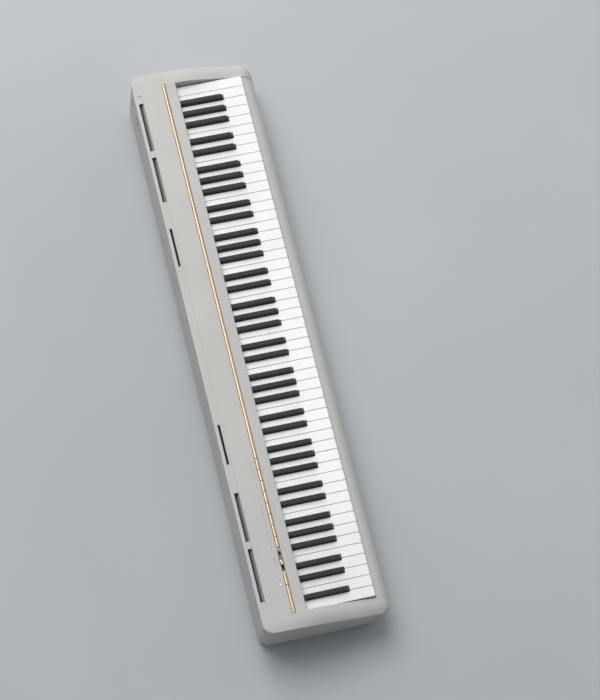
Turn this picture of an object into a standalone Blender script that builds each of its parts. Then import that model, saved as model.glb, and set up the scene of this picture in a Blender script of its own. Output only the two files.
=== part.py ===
"""Portable digital piano: a slab case with 88 hinged keys, a gold control strip and slotted panel.

Frame: metres, +Z up, +X towards the treble end, +Y towards the rear.
The origin is on the surface it stands on, under the middle of the case.
"""
import math

import bmesh
import bpy
from mathutils import Matrix, Vector

# ---------------------------------------------------------------- driving dimensions
WIDTH = 1.296
DEPTH = 0.280
HEIGHT = 0.150
FOOT_H = 0.005
WALL = 0.003
GAP = 0.0003

WHITE_PITCH = 0.0235
WHITE_COUNT = 52
KEY_GAP = 0.001
KEY_TOP = 0.130
WHITE_THICK = 0.014
KEY_FRONT_Y = -0.1075
KEY_REAR_Y = 0.100
HEAD_LENGTH = 0.0495
BLACK_SLOT = 0.0132
BLACK_WIDTH = 0.0106
BLACK_RISE = 0.012
BLACK_FRONT_Y = -0.0570
HINGE_Y = 0.0925
HINGE_Z = 0.1157

PANEL_FRONT_Y = 0.042
LIP_UNDERSIDE = 0.1436
WELL_HALF = 0.613
STRIP_Y = 0.0695
STRIP_W = 0.0073
STRIP_END = 0.614
STRIP_TOP = 0.1508
BUTTON_COUNT = 8
BUTTON_START = -0.2734
BUTTON_END = -0.4721
SLIDER_START = -0.4772
SLIDER_END = -0.5232
POWER_START = -0.5277
POWER_END = -0.5527
TRIM_RECESS = 0.002
BUTTON_TRAVEL = 0.0012
BOARD_TOP = 0.1406

GROOVE_Y0 = 0.1229
GROOVE_Y1 = 0.1327
GROOVE_END = 0.597
GROOVE_DEPTH = 0.0012
REST_SLOT_Y0 = 0.1274
WIDE_SLOTS = ((0.338, 0.446), (0.462, 0.578))
REST_SLOT = (0.184, 0.274)

REAR_CORNER_R = 0.022
FRONT_CORNER_R = 0.020
SHOULDER_RUN = 0.026
SHOULDER_DROP = 0.007
BASE_HALF = 0.643
PARTING = ((-0.140, 0.1030), (-0.107, 0.1096), (-0.072, 0.1165), (-0.031, 0.1280), (0.008, 0.1362),
           (0.050, 0.1417), (0.140, 0.1430))
CHEEK_WALL_FOOT = 0.100

RAIL_HALF = 0.6115
RAIL_BACK_Y = -0.1095
RAIL_TOP = 0.118
RAIL_BOTTOM = 0.022

HAMMER_Y = 0.050
HAMMER_Z = 0.0950
HAMMER_REAR_Y = 0.083

KEYBED_Z = 0.086
KEYBED_T = 0.003
KEYBED_HALF = 0.608

JACK_CENTRE_X = 0.572
JACK_PLATE_W = 0.086
JACK_PLATE_Z0 = 0.088
JACK_PLATE_Z1 = 0.112

C4_INDEX = 23
OCTAVE_WHITES = 7
NOTE_NAMES = ("c", "d", "e", "f", "g", "a", "b")
SHARPS_AFTER = {"c": "c_sharp", "d": "d_sharp", "f": "f_sharp", "g": "g_sharp", "a": "a_sharp"}

HALF_W = WIDTH / 2
HALF_D = DEPTH / 2
KEYS_LEFT = -WHITE_PITCH * WHITE_COUNT / 2
BIG = 0.80
BEYOND = 0.20
STEEL_T = 0.0025
SPEAKER_X = 0.440
SPEAKER_Y = -0.010
GRILLE_BARS = 5
GRILLE_PITCH = 0.014
GRILLE_SLOT = 0.005
GRILLE_REACH = 0.070
GRILLE_END_REACH = 0.055
FLOOR_TOP = FOOT_H + WALL + GAP
BOARD_T = 0.0016
KEYBED_TOP = KEYBED_Z + KEYBED_T
RAIL_SEAT = KEYBED_TOP + GAP

# ---------------------------------------------------------------- scene and materials
for old in list(bpy.data.objects):
    bpy.data.objects.remove(old, do_unlink=True)

parts = bpy.data.collections.new("digital_piano")
cutters = bpy.data.collections.new("cutters")
bpy.context.scene.collection.children.link(parts)
bpy.context.scene.collection.children.link(cutters)

PALETTE = {
    "case": ((0.56, 0.55, 0.53), 0.55, 0.0),
    "case_dark": ((0.42, 0.42, 0.41), 0.6, 0.0),
    "gold": ((0.72, 0.56, 0.36), 0.3, 0.9),
    "white_key": ((0.86, 0.86, 0.85), 0.3, 0.0),
    "black_key": ((0.03, 0.03, 0.032), 0.45, 0.0),
    "steel": ((0.6, 0.6, 0.6), 0.4, 1.0),
    "felt": ((0.45, 0.05, 0.06), 0.95, 0.0),
    "board": ((0.05, 0.25, 0.10), 0.5, 0.0),
    "rubber": ((0.04, 0.04, 0.04), 0.85, 0.0),
    "socket": ((0.02, 0.02, 0.02), 0.5, 0.0),
}


def material_for(node, kind):
    """A Principled material of the node's own, in the palette's colour."""
    colour, roughness, metallic = PALETTE[kind]
    mat = bpy.data.materials.new(node + "_finish")
    mat.use_nodes = True
    shader = mat.node_tree.nodes["Principled BSDF"]
    shader.inputs["Base Color"].default_value = (*colour, 1.0)
    shader.inputs["Roughness"].default_value = roughness
    shader.inputs["Metallic"].default_value = metallic
    return mat


# ---------------------------------------------------------------- shape helpers
def place(obj, is_cutter=False):
    """Link an object as a part or as a hidden cutter."""
    if is_cutter:
        cutters.objects.link(obj)
        obj.hide_render = True
        obj.display_type = "WIRE"
    else:
        parts.objects.link(obj)
    return obj


def finish(obj, kind):
    obj.data.materials.clear()
    obj.data.materials.append(material_for(obj.name, kind))
    return obj


def box(name, low, high, is_cutter=False):
    """An axis-aligned block between two corners, with its origin at its middle."""
    low = Vector(low)
    high = Vector(high)
    mesh = bpy.data.meshes.new(name)
    bm = bmesh.new()
    bmesh.ops.create_cube(bm, size=1.0)
    bmesh.ops.scale(bm, vec=high - low, verts=bm.verts)
    bm.to_mesh(mesh)
    bm.free()
    obj = bpy.data.objects.new(name, mesh)
    obj.location = (low + high) / 2
    return place(obj, is_cutter)


def cylinder(name, start, end, radius, sides=16, is_cutter=False, end_radius=None):
    """A capped round bar, or a cone where end_radius differs, from start to end."""
    start = Vector(start)
    end = Vector(end)
    axis = end - start
    mesh = bpy.data.meshes.new(name)
    bm = bmesh.new()
    bmesh.ops.create_cone(
        bm, cap_ends=True, segments=sides, radius1=radius,
        radius2=radius if end_radius is None else end_radius, depth=axis.length)
    bm.to_mesh(mesh)
    bm.free()
    mesh.shade_smooth()
    mesh.set_sharp_from_angle(angle=math.radians(40))
    obj = bpy.data.objects.new(name, mesh)
    obj.location = (start + end) / 2
    obj.rotation_euler = Vector((0, 0, 1)).rotation_difference(axis).to_euler()
    return place(obj, is_cutter)


PLANES = {
    "YZ": Matrix(((0, 0, 1, 0), (1, 0, 0, 0), (0, 1, 0, 0), (0, 0, 0, 1))),
    "XZ": Matrix(((1, 0, 0, 0), (0, 0, -1, 0), (0, 1, 0, 0), (0, 0, 0, 1))),
    "XY": Matrix.Identity(4),
}


def outline_solid(name, outline, plane, low, high, is_cutter=False):
    """A flat outline in a plane, extruded between two places along the plane's normal."""
    curve = bpy.data.curves.new(name, "CURVE")
    curve.dimensions = "2D"
    curve.fill_mode = "BOTH"
    curve.extrude = abs(high - low) / 2
    spline = curve.splines.new("POLY")
    spline.points.add(len(outline) - 1)
    for point, (u, v) in zip(spline.points, outline):
        point.co = (u, v, 0.0, 1.0)
    spline.use_cyclic_u = True
    drawn = bpy.data.objects.new(name + "_outline", curve)
    bpy.context.scene.collection.objects.link(drawn)
    middle = (low + high) / 2
    sign = -1.0 if plane == "XZ" else 1.0
    drawn.matrix_world = PLANES[plane] @ Matrix.Translation((0, 0, sign * middle))
    bpy.context.view_layer.update()
    evaluated = drawn.evaluated_get(bpy.context.evaluated_depsgraph_get())
    mesh = bpy.data.meshes.new_from_object(evaluated)
    mesh.name = name
    bm = bmesh.new()
    bm.from_mesh(mesh)
    bmesh.ops.remove_doubles(bm, verts=bm.verts, dist=0.000005)
    bmesh.ops.recalc_face_normals(bm, faces=bm.faces)
    bm.to_mesh(mesh)
    bm.free()
    obj = bpy.data.objects.new(name, mesh)
    obj.matrix_world = drawn.matrix_world.copy()
    bpy.data.objects.remove(drawn, do_unlink=True)
    bpy.data.curves.remove(curve)
    return place(obj, is_cutter)


def combine(obj, operand, operation):
    """Add an exact Boolean modifier to obj."""
    modifier = obj.modifiers.new(operand.name, "BOOLEAN")
    modifier.operation = operation
    modifier.solver = "EXACT"
    modifier.object = operand
    return obj


def cut(obj, *operands):
    for operand in operands:
        combine(obj, operand, "DIFFERENCE")
    return obj


def bezier(p0, p1, p2, p3, steps):
    """Points after p0 up to p3 on a cubic curve."""
    points = []
    for i in range(1, steps + 1):
        t = i / steps
        weights = ((1 - t) ** 3, 3 * t * (1 - t) ** 2, 3 * t * t * (1 - t), t ** 3)
        points.append(tuple(
            sum(w * p[k] for w, p in zip(weights, (p0, p1, p2, p3))) for k in range(2)))
    return points


def corner(centre, radius, start_deg, end_deg, steps):
    """Points on a round corner about a centre."""
    points = []
    for i in range(steps + 1):
        angle = math.radians(start_deg + (end_deg - start_deg) * i / steps)
        points.append((centre[0] + radius * math.cos(angle), centre[1] + radius * math.sin(angle)))
    return points


# ---------------------------------------------------------------- the case's outer form
def rail_curve(inset, steps):
    """The front of the case in side view, from the rail's top edge to the foot of the front."""
    nose = -HALF_D + inset
    points = [(-0.112 + inset, 0.1195 - inset)]
    points += bezier(points[0], (-0.126 + inset, 0.117 - inset), (nose, 0.098), (nose, 0.068), steps)
    points += bezier(points[-1], (nose, 0.048), (-0.131 + inset, 0.028), (-0.126 + inset, 0.014), 3)
    return points


def side_outline(inset, steps):
    """Side view of the whole case: flat top, cheek falling to the front, round nose."""
    rear = HALF_D - inset
    top = HEIGHT - inset
    base = FOOT_H + inset
    cheek_start = (0.030, top)
    sweep = bezier(cheek_start, (-0.012, top), (-0.030, 0.134 - inset), (-0.112 + inset, 0.1195 - inset),
                   steps + 2)
    front = rail_curve(inset, steps)[1:]
    return ([(rear, base + 0.006), (rear, top - 0.002), (rear - 0.002, top), cheek_start]
            + sweep + front + [(-0.120 + inset, base), (rear - 0.006, base)])


def plan_outline(inset, steps):
    """Top view: a rectangle with round corners."""
    outline = []
    for sx, sy, start, radius in ((1, 1, 0, REAR_CORNER_R), (-1, 1, 90, REAR_CORNER_R),
                                  (-1, -1, 180, FRONT_CORNER_R), (1, -1, 270, FRONT_CORNER_R)):
        centre = (sx * (HALF_W - radius), sy * (HALF_D - radius))
        outline += corner(centre, radius - inset, start, start + 90, steps)
    return outline


def front_outline(inset, steps):
    """Front view: softly crowned shoulders at the ends, and sides that draw in towards the base."""
    top = HEIGHT - inset
    base = FOOT_H + inset
    half = HALF_W - inset
    crown = (SHOULDER_RUN ** 2 + SHOULDER_DROP ** 2) / (2 * SHOULDER_DROP)
    sweep = math.degrees(math.asin(SHOULDER_RUN / crown))
    right = corner((half - SHOULDER_RUN, top - crown), crown, 90, 90 - sweep, steps)
    right += [(half, PARTING[0][1]), (BASE_HALF - inset, 0.016 + inset), (BASE_HALF - 0.009, base)]
    left = [(-x, z) for x, z in reversed(right)]
    return right + left


def envelope(name, inset, steps, is_cutter):
    """The case's outer form, or with an inset its hollow."""
    body = outline_solid(name, side_outline(inset, steps), "YZ", -BIG, BIG, is_cutter)
    plan = outline_solid(name + "_plan", plan_outline(inset, steps), "XY", -0.1, 0.3, True)
    front = outline_solid(name + "_front", front_outline(inset, steps), "XZ", -0.3, 0.3, True)
    combine(body, plan, "INTERSECT")
    combine(body, front, "INTERSECT")
    return body


def parting_block(name, above):
    """Everything above or below the curved joint between the cover and the case."""
    lift = GAP / 2 if above else -GAP / 2
    limit = 0.35 if above else -0.1
    joint = [(y, z + lift) for y, z in PARTING]
    outline = [(-BEYOND, limit), (-BEYOND, joint[0][1]), *joint, (BEYOND, joint[-1][1]), (BEYOND, limit)]
    return outline_solid(name, outline, "YZ", -BIG, BIG, True)


above_parting = parting_block("above_parting", True)
below_parting = parting_block("below_parting", False)


def mirrored_ranges(ranges):
    """The x ranges on the treble side, and the same on the bass side."""
    return [*ranges, *((-b, -a) for a, b in ranges)]


# ---------------------------------------------------------------- top cover
def skirt_outline():
    """Side view of the wall beside the end keys, from just over the joint down past the keys."""
    overlap = 0.001
    crest = [(y, z + overlap) for y, z in PARTING[1:]]
    return [(crest[0][0], CHEEK_WALL_FOOT), *crest[:-1], (0.100, crest[-2][1]), (0.100, CHEEK_WALL_FOOT)]


def make_top_cover():
    cover = envelope("top_cover", 0.0, 5, False)
    combine(cover, above_parting, "INTERSECT")
    hollow = envelope("cover_hollow", WALL, 3, True)
    for side in (-1, 1):
        x0, x1 = sorted((side * WELL_HALF, side * (WELL_HALF + WALL)))
        cut(hollow, box("cheek_wall", (x0, -BEYOND, 0.0), (x1, 0.100, BEYOND), True))
    cut(hollow, box("panel_lip", (-WELL_HALF, PANEL_FRONT_Y, LIP_UNDERSIDE),
                    (WELL_HALF, PANEL_FRONT_Y + 0.0035, BEYOND), True))
    cut(cover, hollow)
    cut(cover, box("key_well", (-WELL_HALF, -BEYOND, 0.0), (WELL_HALF, PANEL_FRONT_Y, BEYOND), True))
    for side in (-1, 1):
        x0, x1 = sorted((side * WELL_HALF, side * (WELL_HALF + WALL)))
        combine(cover, outline_solid("cheek_skirt", skirt_outline(), "YZ", x0, x1, True), "UNION")
    slope = [(0.064, HEIGHT), (0.030, HEIGHT - 0.0034), (0.030, BEYOND), (0.064, BEYOND)]
    cut(cover, outline_solid("front_slope", slope, "YZ", -WELL_HALF, WELL_HALF, True))
    half = STRIP_W / 2 + GAP
    recess = (HEIGHT - TRIM_RECESS, BEYOND)
    through = (HEIGHT - 0.02, BEYOND)
    recesses = (("long_trim_recess", BUTTON_START, STRIP_END + GAP, recess),
                ("short_trim_recess", -STRIP_END - GAP, POWER_END, recess),
                ("button_window", BUTTON_END - GAP, BUTTON_START + GAP, through),
                ("slider_window", SLIDER_END, SLIDER_START, through),
                ("power_window", POWER_END - GAP, POWER_START + GAP, through))
    for name, x0, x1, (z0, z1) in recesses:
        cut(cover, box(name, (x0, STRIP_Y - half, z0), (x1, STRIP_Y + half, z1), True))
    cut(cover, box("rear_groove", (-GROOVE_END, GROOVE_Y0, HEIGHT - GROOVE_DEPTH),
                   (GROOVE_END, GROOVE_Y1, BEYOND), True))
    for x0, x1 in mirrored_ranges(WIDE_SLOTS):
        cut(cover, box("vent_slot", (x0, GROOVE_Y0, through[0]), (x1, GROOVE_Y1, BEYOND), True))
    for x0, x1 in mirrored_ranges([REST_SLOT]):
        cut(cover, box("rest_slot", (x0, REST_SLOT_Y0, through[0]), (x1, GROOVE_Y1, BEYOND), True))
    return finish(cover, "case")


# ---------------------------------------------------------------- lower case
def make_lower_case():
    case = envelope("lower_case", 0.0, 5, False)
    combine(case, below_parting, "INTERSECT")
    cut(case, envelope("case_hollow", WALL, 3, True))
    cut(case, box("rail_pocket", (-RAIL_HALF - GAP, -BEYOND, RAIL_BOTTOM - GAP),
                  (RAIL_HALF + GAP, -0.1062, BEYOND), True))
    half = JACK_PLATE_W / 2 + GAP
    cut(case, box("jack_window", (JACK_CENTRE_X - half, 0.12, JACK_PLATE_Z0 - GAP),
                  (JACK_CENTRE_X + half, BEYOND, JACK_PLATE_Z1 + GAP), True))
    for side in (-1, 1):
        for i in range(GRILLE_BARS):
            y = SPEAKER_Y + (i - (GRILLE_BARS - 1) / 2) * GRILLE_PITCH
            reach = GRILLE_END_REACH if i in (0, GRILLE_BARS - 1) else GRILLE_REACH
            cut(case, box("grille_slot", (side * SPEAKER_X - reach, y - GRILLE_SLOT / 2, -0.01),
                          (side * SPEAKER_X + reach, y + GRILLE_SLOT / 2, 0.012), True))
    return finish(case, "case_dark")


def make_front_rail():
    """A channel in front of the keys: the case's nose outside, an even wall inside."""
    nose = -HALF_D
    foot = -0.1288
    outer = [(RAIL_BACK_Y, RAIL_TOP - 0.001), (RAIL_BACK_Y - 0.001, RAIL_TOP)]
    outer += bezier(outer[-1], (-0.125, 0.1165), (nose, 0.098), (nose, 0.068), 7)
    outer += bezier(outer[-1], (nose, 0.048), (-0.1325, 0.035), (foot, RAIL_BOTTOM), 3)
    inner = bezier((nose + WALL, 0.068), (nose + WALL, 0.048), (-0.1295, 0.035),
                   (foot + WALL, RAIL_BOTTOM), 3)[::-1]
    inner += [(nose + WALL, 0.068)]
    inner += bezier((nose + WALL, 0.068), (nose + WALL, 0.093), (-0.1255, 0.112),
                    (RAIL_BACK_Y - 0.0045, 0.1145), 5)
    inner += [(RAIL_BACK_Y - 0.0022, 0.1135), (RAIL_BACK_Y - 0.0022, 0.090), (RAIL_BACK_Y, 0.090)]
    return finish(outline_solid("front_rail", outer + inner, "YZ", -RAIL_HALF, RAIL_HALF), "case")


# ---------------------------------------------------------------- gold strip and controls
def strip_outline(y0, y1, base, top):
    """Cross-section of a trim: a low rounded crown on a flat base."""
    crown = 0.0005
    return [(y0, base), (y1, base), (y1, top - crown), (y1 - 0.0015, top), (y0 + 0.0015, top),
            (y0, top - crown)]


def make_strips():
    y0 = STRIP_Y - STRIP_W / 2
    y1 = STRIP_Y + STRIP_W / 2
    base = HEIGHT - TRIM_RECESS + GAP
    section = strip_outline(y0, y1, base, STRIP_TOP)
    finish(outline_solid("long_trim", section, "YZ", BUTTON_START + 0.001, STRIP_END), "gold")
    finish(outline_solid("short_trim", section, "YZ", -STRIP_END, POWER_END - 0.001), "gold")


def button(name, x0, x1):
    """A gold cap on a stem that reaches its switch, with its origin where it is pressed."""
    inset = 0.0004
    mid = (x0 + x1) / 2
    cap_half = abs(x1 - x0) / 2 - inset
    stem_half = 0.004
    cap_low = HEIGHT - 0.0022
    stem_low = BOARD_TOP + BUTTON_TRAVEL + 0.0004
    outline = [(mid - stem_half, stem_low), (mid + stem_half, stem_low), (mid + stem_half, cap_low),
               (mid + cap_half, cap_low), (mid + cap_half, STRIP_TOP - 0.0004),
               (mid + cap_half - 0.001, STRIP_TOP), (mid - cap_half + 0.001, STRIP_TOP),
               (mid - cap_half, STRIP_TOP - 0.0004), (mid - cap_half, cap_low),
               (mid - stem_half, cap_low)]
    half = STRIP_W / 2 - 0.0002
    return finish(outline_solid(name, outline, "XZ", STRIP_Y - half, STRIP_Y + half), "gold")


def make_controls():
    pitch = (BUTTON_START - BUTTON_END) / BUTTON_COUNT
    for i in range(BUTTON_COUNT):
        x1 = BUTTON_START - i * pitch
        button(f"panel_button_{i + 1}", x1 - pitch, x1)
    button("power_button", POWER_END, POWER_START)
    middle = (SLIDER_START + SLIDER_END) / 2
    top = HEIGHT + 0.003
    outline = [(middle - 0.003, BOARD_TOP + 0.0008), (middle + 0.003, BOARD_TOP + 0.0008),
               (middle + 0.003, HEIGHT - 0.0015), (middle + 0.0098, HEIGHT - 0.0015),
               (middle + 0.0098, top - 0.001), (middle + 0.0085, top), (middle + 0.002, top),
               (middle, top - 0.0008), (middle - 0.002, top), (middle - 0.0085, top),
               (middle - 0.0098, top - 0.001), (middle - 0.0098, HEIGHT - 0.0015),
               (middle - 0.003, HEIGHT - 0.0015)]
    half = STRIP_W / 2 - 0.0003
    knob = outline_solid("volume_knob", outline, "XZ", STRIP_Y - half, STRIP_Y + half)
    finish(knob, "gold")


# ---------------------------------------------------------------- keys
def octave_sharps():
    """Name and centre of each sharp, measured from its octave's C edge."""
    lower_tail = (3 * WHITE_PITCH - 2 * BLACK_SLOT) / 3
    upper_tail = (4 * WHITE_PITCH - 3 * BLACK_SLOT) / 4
    upper_start = 3 * WHITE_PITCH
    return {
        "c_sharp": lower_tail + BLACK_SLOT / 2,
        "d_sharp": 2 * lower_tail + 1.5 * BLACK_SLOT,
        "f_sharp": upper_start + upper_tail + BLACK_SLOT / 2,
        "g_sharp": upper_start + 2 * upper_tail + 1.5 * BLACK_SLOT,
        "a_sharp": upper_start + 3 * upper_tail + 2.5 * BLACK_SLOT,
    }


SHARP_OFFSETS = octave_sharps()


def white_name(index):
    """The lowest white key is an A, two keys below the first C."""
    return NOTE_NAMES[(index - 2) % OCTAVE_WHITES]


def sharp_centre(index):
    """Middle of the sharp that follows a white key, or None where there is none."""
    name = white_name(index)
    if name not in SHARPS_AFTER or index >= WHITE_COUNT - 1:
        return None
    octave_left = KEYS_LEFT + (index - (index - 2) % OCTAVE_WHITES) * WHITE_PITCH
    return octave_left + SHARP_OFFSETS[SHARPS_AFTER[name]]


def white_sides(index):
    """Left and right edges of a white key's head, and of its narrow tail."""
    left = KEYS_LEFT + index * WHITE_PITCH + KEY_GAP / 2
    right = left + WHITE_PITCH - KEY_GAP
    before = sharp_centre(index - 1) if index > 0 else None
    after = sharp_centre(index)
    tail_left = left if before is None else before + BLACK_SLOT / 2
    tail_right = right if after is None else after - BLACK_SLOT / 2
    return left, right, tail_left, tail_right


def white_keys(name, first, last):
    """One white key, or a run of them on a common strip behind their hinge."""
    notch = KEY_FRONT_Y + HEAD_LENGTH
    strip_front = HINGE_Y - 0.001
    outline = []
    for index in range(first, last + 1):
        left, right, tail_left, tail_right = white_sides(index)
        outline += [(tail_left, strip_front), (tail_left, notch), (left, notch), (left, KEY_FRONT_Y),
                    (right, KEY_FRONT_Y), (right, notch), (tail_right, notch), (tail_right, strip_front)]
    outline = [point for i, point in enumerate(outline) if i == 0 or point != outline[i - 1]]
    outline += [(white_sides(last)[3], KEY_REAR_Y), (white_sides(first)[2], KEY_REAR_Y)]
    keys = outline_solid(name, outline, "XY", KEY_TOP - WHITE_THICK, KEY_TOP)
    return finish(keys, "white_key")


def black_profile():
    """Side view of a sharp: sloping front, level top, and a low tail under the panel."""
    top = KEY_TOP + BLACK_RISE
    tail = KEY_TOP + 0.0065
    base = KEY_TOP - WHITE_THICK
    return [(BLACK_FRONT_Y, base), (BLACK_FRONT_Y, KEY_TOP), (BLACK_FRONT_Y + 0.003, top - 0.002),
            (BLACK_FRONT_Y + 0.006, top), (PANEL_FRONT_Y + 0.006, top), (PANEL_FRONT_Y + 0.014, tail),
            (KEY_REAR_Y - 0.014, tail), (HINGE_Y - 0.003, KEY_TOP), (HINGE_Y - 0.003, base)]


def black_key(name, index, is_cutter=False):
    x = sharp_centre(index)
    return outline_solid(name, black_profile(), "YZ", x - BLACK_WIDTH / 2, x + BLACK_WIDTH / 2, is_cutter)


def black_keys(name, first, last):
    """A run of sharps joined by a strip that passes over the white keys' tails."""
    owners = [index for index in range(first, last + 1) if sharp_centre(index) is not None]
    margin = BLACK_WIDTH / 2 - 0.001
    strip = box(name, (sharp_centre(owners[0]) - margin, KEY_REAR_Y - 0.022, KEY_TOP + 0.0020),
                (sharp_centre(owners[-1]) + margin, KEY_REAR_Y - 0.0145, KEY_TOP + 0.0060))
    for index in owners:
        combine(strip, black_key(f"{name}_finger", index, True), "UNION")
    return finish(strip, "black_key")


def make_keys():
    last_middle = C4_INDEX + OCTAVE_WHITES - 1
    white_keys("bass_white_keys", 0, C4_INDEX - 1)
    black_keys("bass_black_keys", 0, C4_INDEX - 1)
    for index in range(C4_INDEX, last_middle + 1):
        name = white_name(index)
        white_keys(f"key_{name}4", index, index)
        if sharp_centre(index) is not None:
            finish(black_key(f"key_{SHARPS_AFTER[name]}4", index), "black_key")
    white_keys("treble_white_keys", last_middle + 1, WHITE_COUNT - 1)
    black_keys("treble_black_keys", last_middle + 1, WHITE_COUNT - 1)


def hammer(name, x, width):
    """A weighted lever under a key: the key pushes its front arm down, its rear weight rises."""
    nose_y = HAMMER_Y - 0.013
    outline = [(HAMMER_Y - 0.003, HAMMER_Z), (nose_y, 0.1100), (nose_y, 0.1148), (nose_y + 0.004, 0.1148),
               (HAMMER_Y, 0.1035), (HAMMER_REAR_Y, 0.1035), (HAMMER_REAR_Y, 0.0925),
               (HAMMER_Y + 0.009, 0.0925), (HAMMER_Y + 0.003, HAMMER_Z)]
    return finish(outline_solid(name, outline, "YZ", x - width / 2, x + width / 2), "steel")


def make_hammers():
    for index in range(C4_INDEX, C4_INDEX + OCTAVE_WHITES):
        name = white_name(index)
        tail = white_sides(index)[2:]
        hammer(f"hammer_{name}4", sum(tail) / 2, 0.009)
        if sharp_centre(index) is not None:
            hammer(f"hammer_{SHARPS_AFTER[name]}4", sharp_centre(index), 0.007)
    seat = RAIL_SEAT
    rail = [(HAMMER_Y - 0.004, seat), (HAMMER_Y + 0.004, seat), (HAMMER_Y + 0.004, seat + 0.002),
            (HAMMER_Y + 0.001, HAMMER_Z - 0.0005), (HAMMER_Y - 0.001, HAMMER_Z - 0.0005),
            (HAMMER_Y - 0.004, seat + 0.002)]
    finish(outline_solid("hammer_rail", rail, "YZ", -KEYBED_HALF, KEYBED_HALF), "steel")


# ---------------------------------------------------------------- inside the case
def make_keybed():
    """A folded steel tray under the keys, and what is fixed on it."""
    front = -0.1040
    rear = 0.0985
    base = FLOOR_TOP
    top = KEYBED_TOP
    foot = 0.012
    t = STEEL_T
    section = [(front - t, base), (front + foot, base), (front + foot, base + t), (front, base + t),
               (front, KEYBED_Z), (rear, KEYBED_Z), (rear, base + t), (rear - foot, base + t),
               (rear - foot, base), (rear + t, base), (rear + t, top), (front - t, top)]
    finish(outline_solid("keybed_frame", section, "YZ", -KEYBED_HALF, KEYBED_HALF), "steel")
    seat = RAIL_SEAT
    rail = [(HINGE_Y - 0.005, seat), (HINGE_Y + 0.005, seat), (HINGE_Y + 0.005, seat + 0.004),
            (HINGE_Y + 0.0015, HINGE_Z - 0.0005), (HINGE_Y - 0.0015, HINGE_Z - 0.0005),
            (HINGE_Y - 0.005, seat + 0.004)]
    finish(outline_solid("key_hinge_rail", rail, "YZ", -KEYBED_HALF, KEYBED_HALF), "steel")
    finish(box("key_stop_rail", (-KEYBED_HALF, -0.102, seat), (KEYBED_HALF, -0.080, 0.1015)), "steel")
    finish(box("felt_strip", (-KEYBED_HALF, -0.101, 0.1018), (KEYBED_HALF, -0.081, 0.1050)), "felt")
    finish(box("contact_board", (-KEYBED_HALF, -0.030, seat + 0.002), (KEYBED_HALF, 0.030, seat + 0.002 + BOARD_T)),
           "board")
    finish(box("contact_rubber", (-KEYBED_HALF + 0.004, -0.012, seat + 0.0039),
               (KEYBED_HALF - 0.004, 0.008, 0.1040)), "rubber")


def make_boards():
    finish(box("panel_board", (-0.566, 0.0600, BOARD_TOP - BOARD_T), (-0.262, 0.0790, BOARD_TOP)), "board")
    for name, x0, x1 in (("main_board", 0.250, 0.540), ("power_board", 0.060, 0.220)):
        finish(box(name, (x0, 0.038, FLOOR_TOP), (x1, 0.080, FLOOR_TOP + BOARD_T)), "board")


def make_speaker(name, side):
    """An oval loudspeaker that fires through the grille in the base: rim, cone and magnet."""
    profile = [(0.0, 0.058), (0.019, 0.058), (0.019, 0.040), (0.024, 0.040), (0.036, 0.0165),
               (0.043, 0.0165), (0.043, 0.0135), (0.036, 0.0135), (0.020, 0.030), (0.0, 0.030)]
    mesh = bpy.data.meshes.new(name)
    mesh.from_pydata([(r, 0.0, z) for r, z in profile], [(i, i + 1) for i in range(len(profile) - 1)], [])
    speaker = bpy.data.objects.new(name, mesh)
    speaker.location = (side * SPEAKER_X, SPEAKER_Y, 0.0)
    speaker.scale = (1.75, 1.0, 1.0)
    screw = speaker.modifiers.new("turn", "SCREW")
    screw.steps = 20
    screw.render_steps = 20
    screw.use_merge_vertices = True
    screw.merge_threshold = 0.00005
    return finish(place(speaker), "socket")


def make_jack_plate():
    """The rear socket block, with DC, USB, pedal and two audio sockets sunk into it."""
    y1 = HALF_D - 0.0004
    y0 = 0.122
    half = JACK_PLATE_W / 2
    plate = box("jack_plate", (JACK_CENTRE_X - half, y0, JACK_PLATE_Z0),
                (JACK_CENTRE_X + half, y1, JACK_PLATE_Z1))
    z = (JACK_PLATE_Z0 + JACK_PLATE_Z1) / 2
    for i in range(3):
        x = JACK_CENTRE_X - 0.033 + i * 0.016
        cut(plate, cylinder("audio_bore", (x, 0.126, z), (x, 0.16, z), 0.0036, 12, True))
    x = JACK_CENTRE_X + 0.013
    cut(plate, box("usb_bore", (x - 0.0042, 0.128, z - 0.0039), (x + 0.0042, 0.16, z + 0.0039), True))
    x = JACK_CENTRE_X + 0.031
    cut(plate, cylinder("power_bore", (x, 0.128, z), (x, 0.16, z), 0.0034, 12, True))
    return finish(plate, "socket")


def make_feet():
    for row, y in (("front", -0.090), ("rear", 0.105)):
        for side, x in (("left", -0.520), ("right", 0.520)):
            foot = cylinder(f"foot_{row}_{side}", (x, y, 0.0), (x, y, FOOT_H - GAP), 0.011, 16,
                            end_radius=0.0125)
            finish(foot, "rubber")


make_top_cover()
make_lower_case()
make_front_rail()
make_strips()
make_controls()
make_keys()
make_hammers()
make_keybed()
make_boards()
make_speaker("speaker_left", -1)
make_speaker("speaker_right", 1)
make_jack_plate()
make_feet()
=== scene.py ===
"""Looks of the slab digital piano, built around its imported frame. Metres, +Z up, +X to the treble end."""
import math

import bmesh
import bpy
from mathutils import Matrix, Vector


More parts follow.
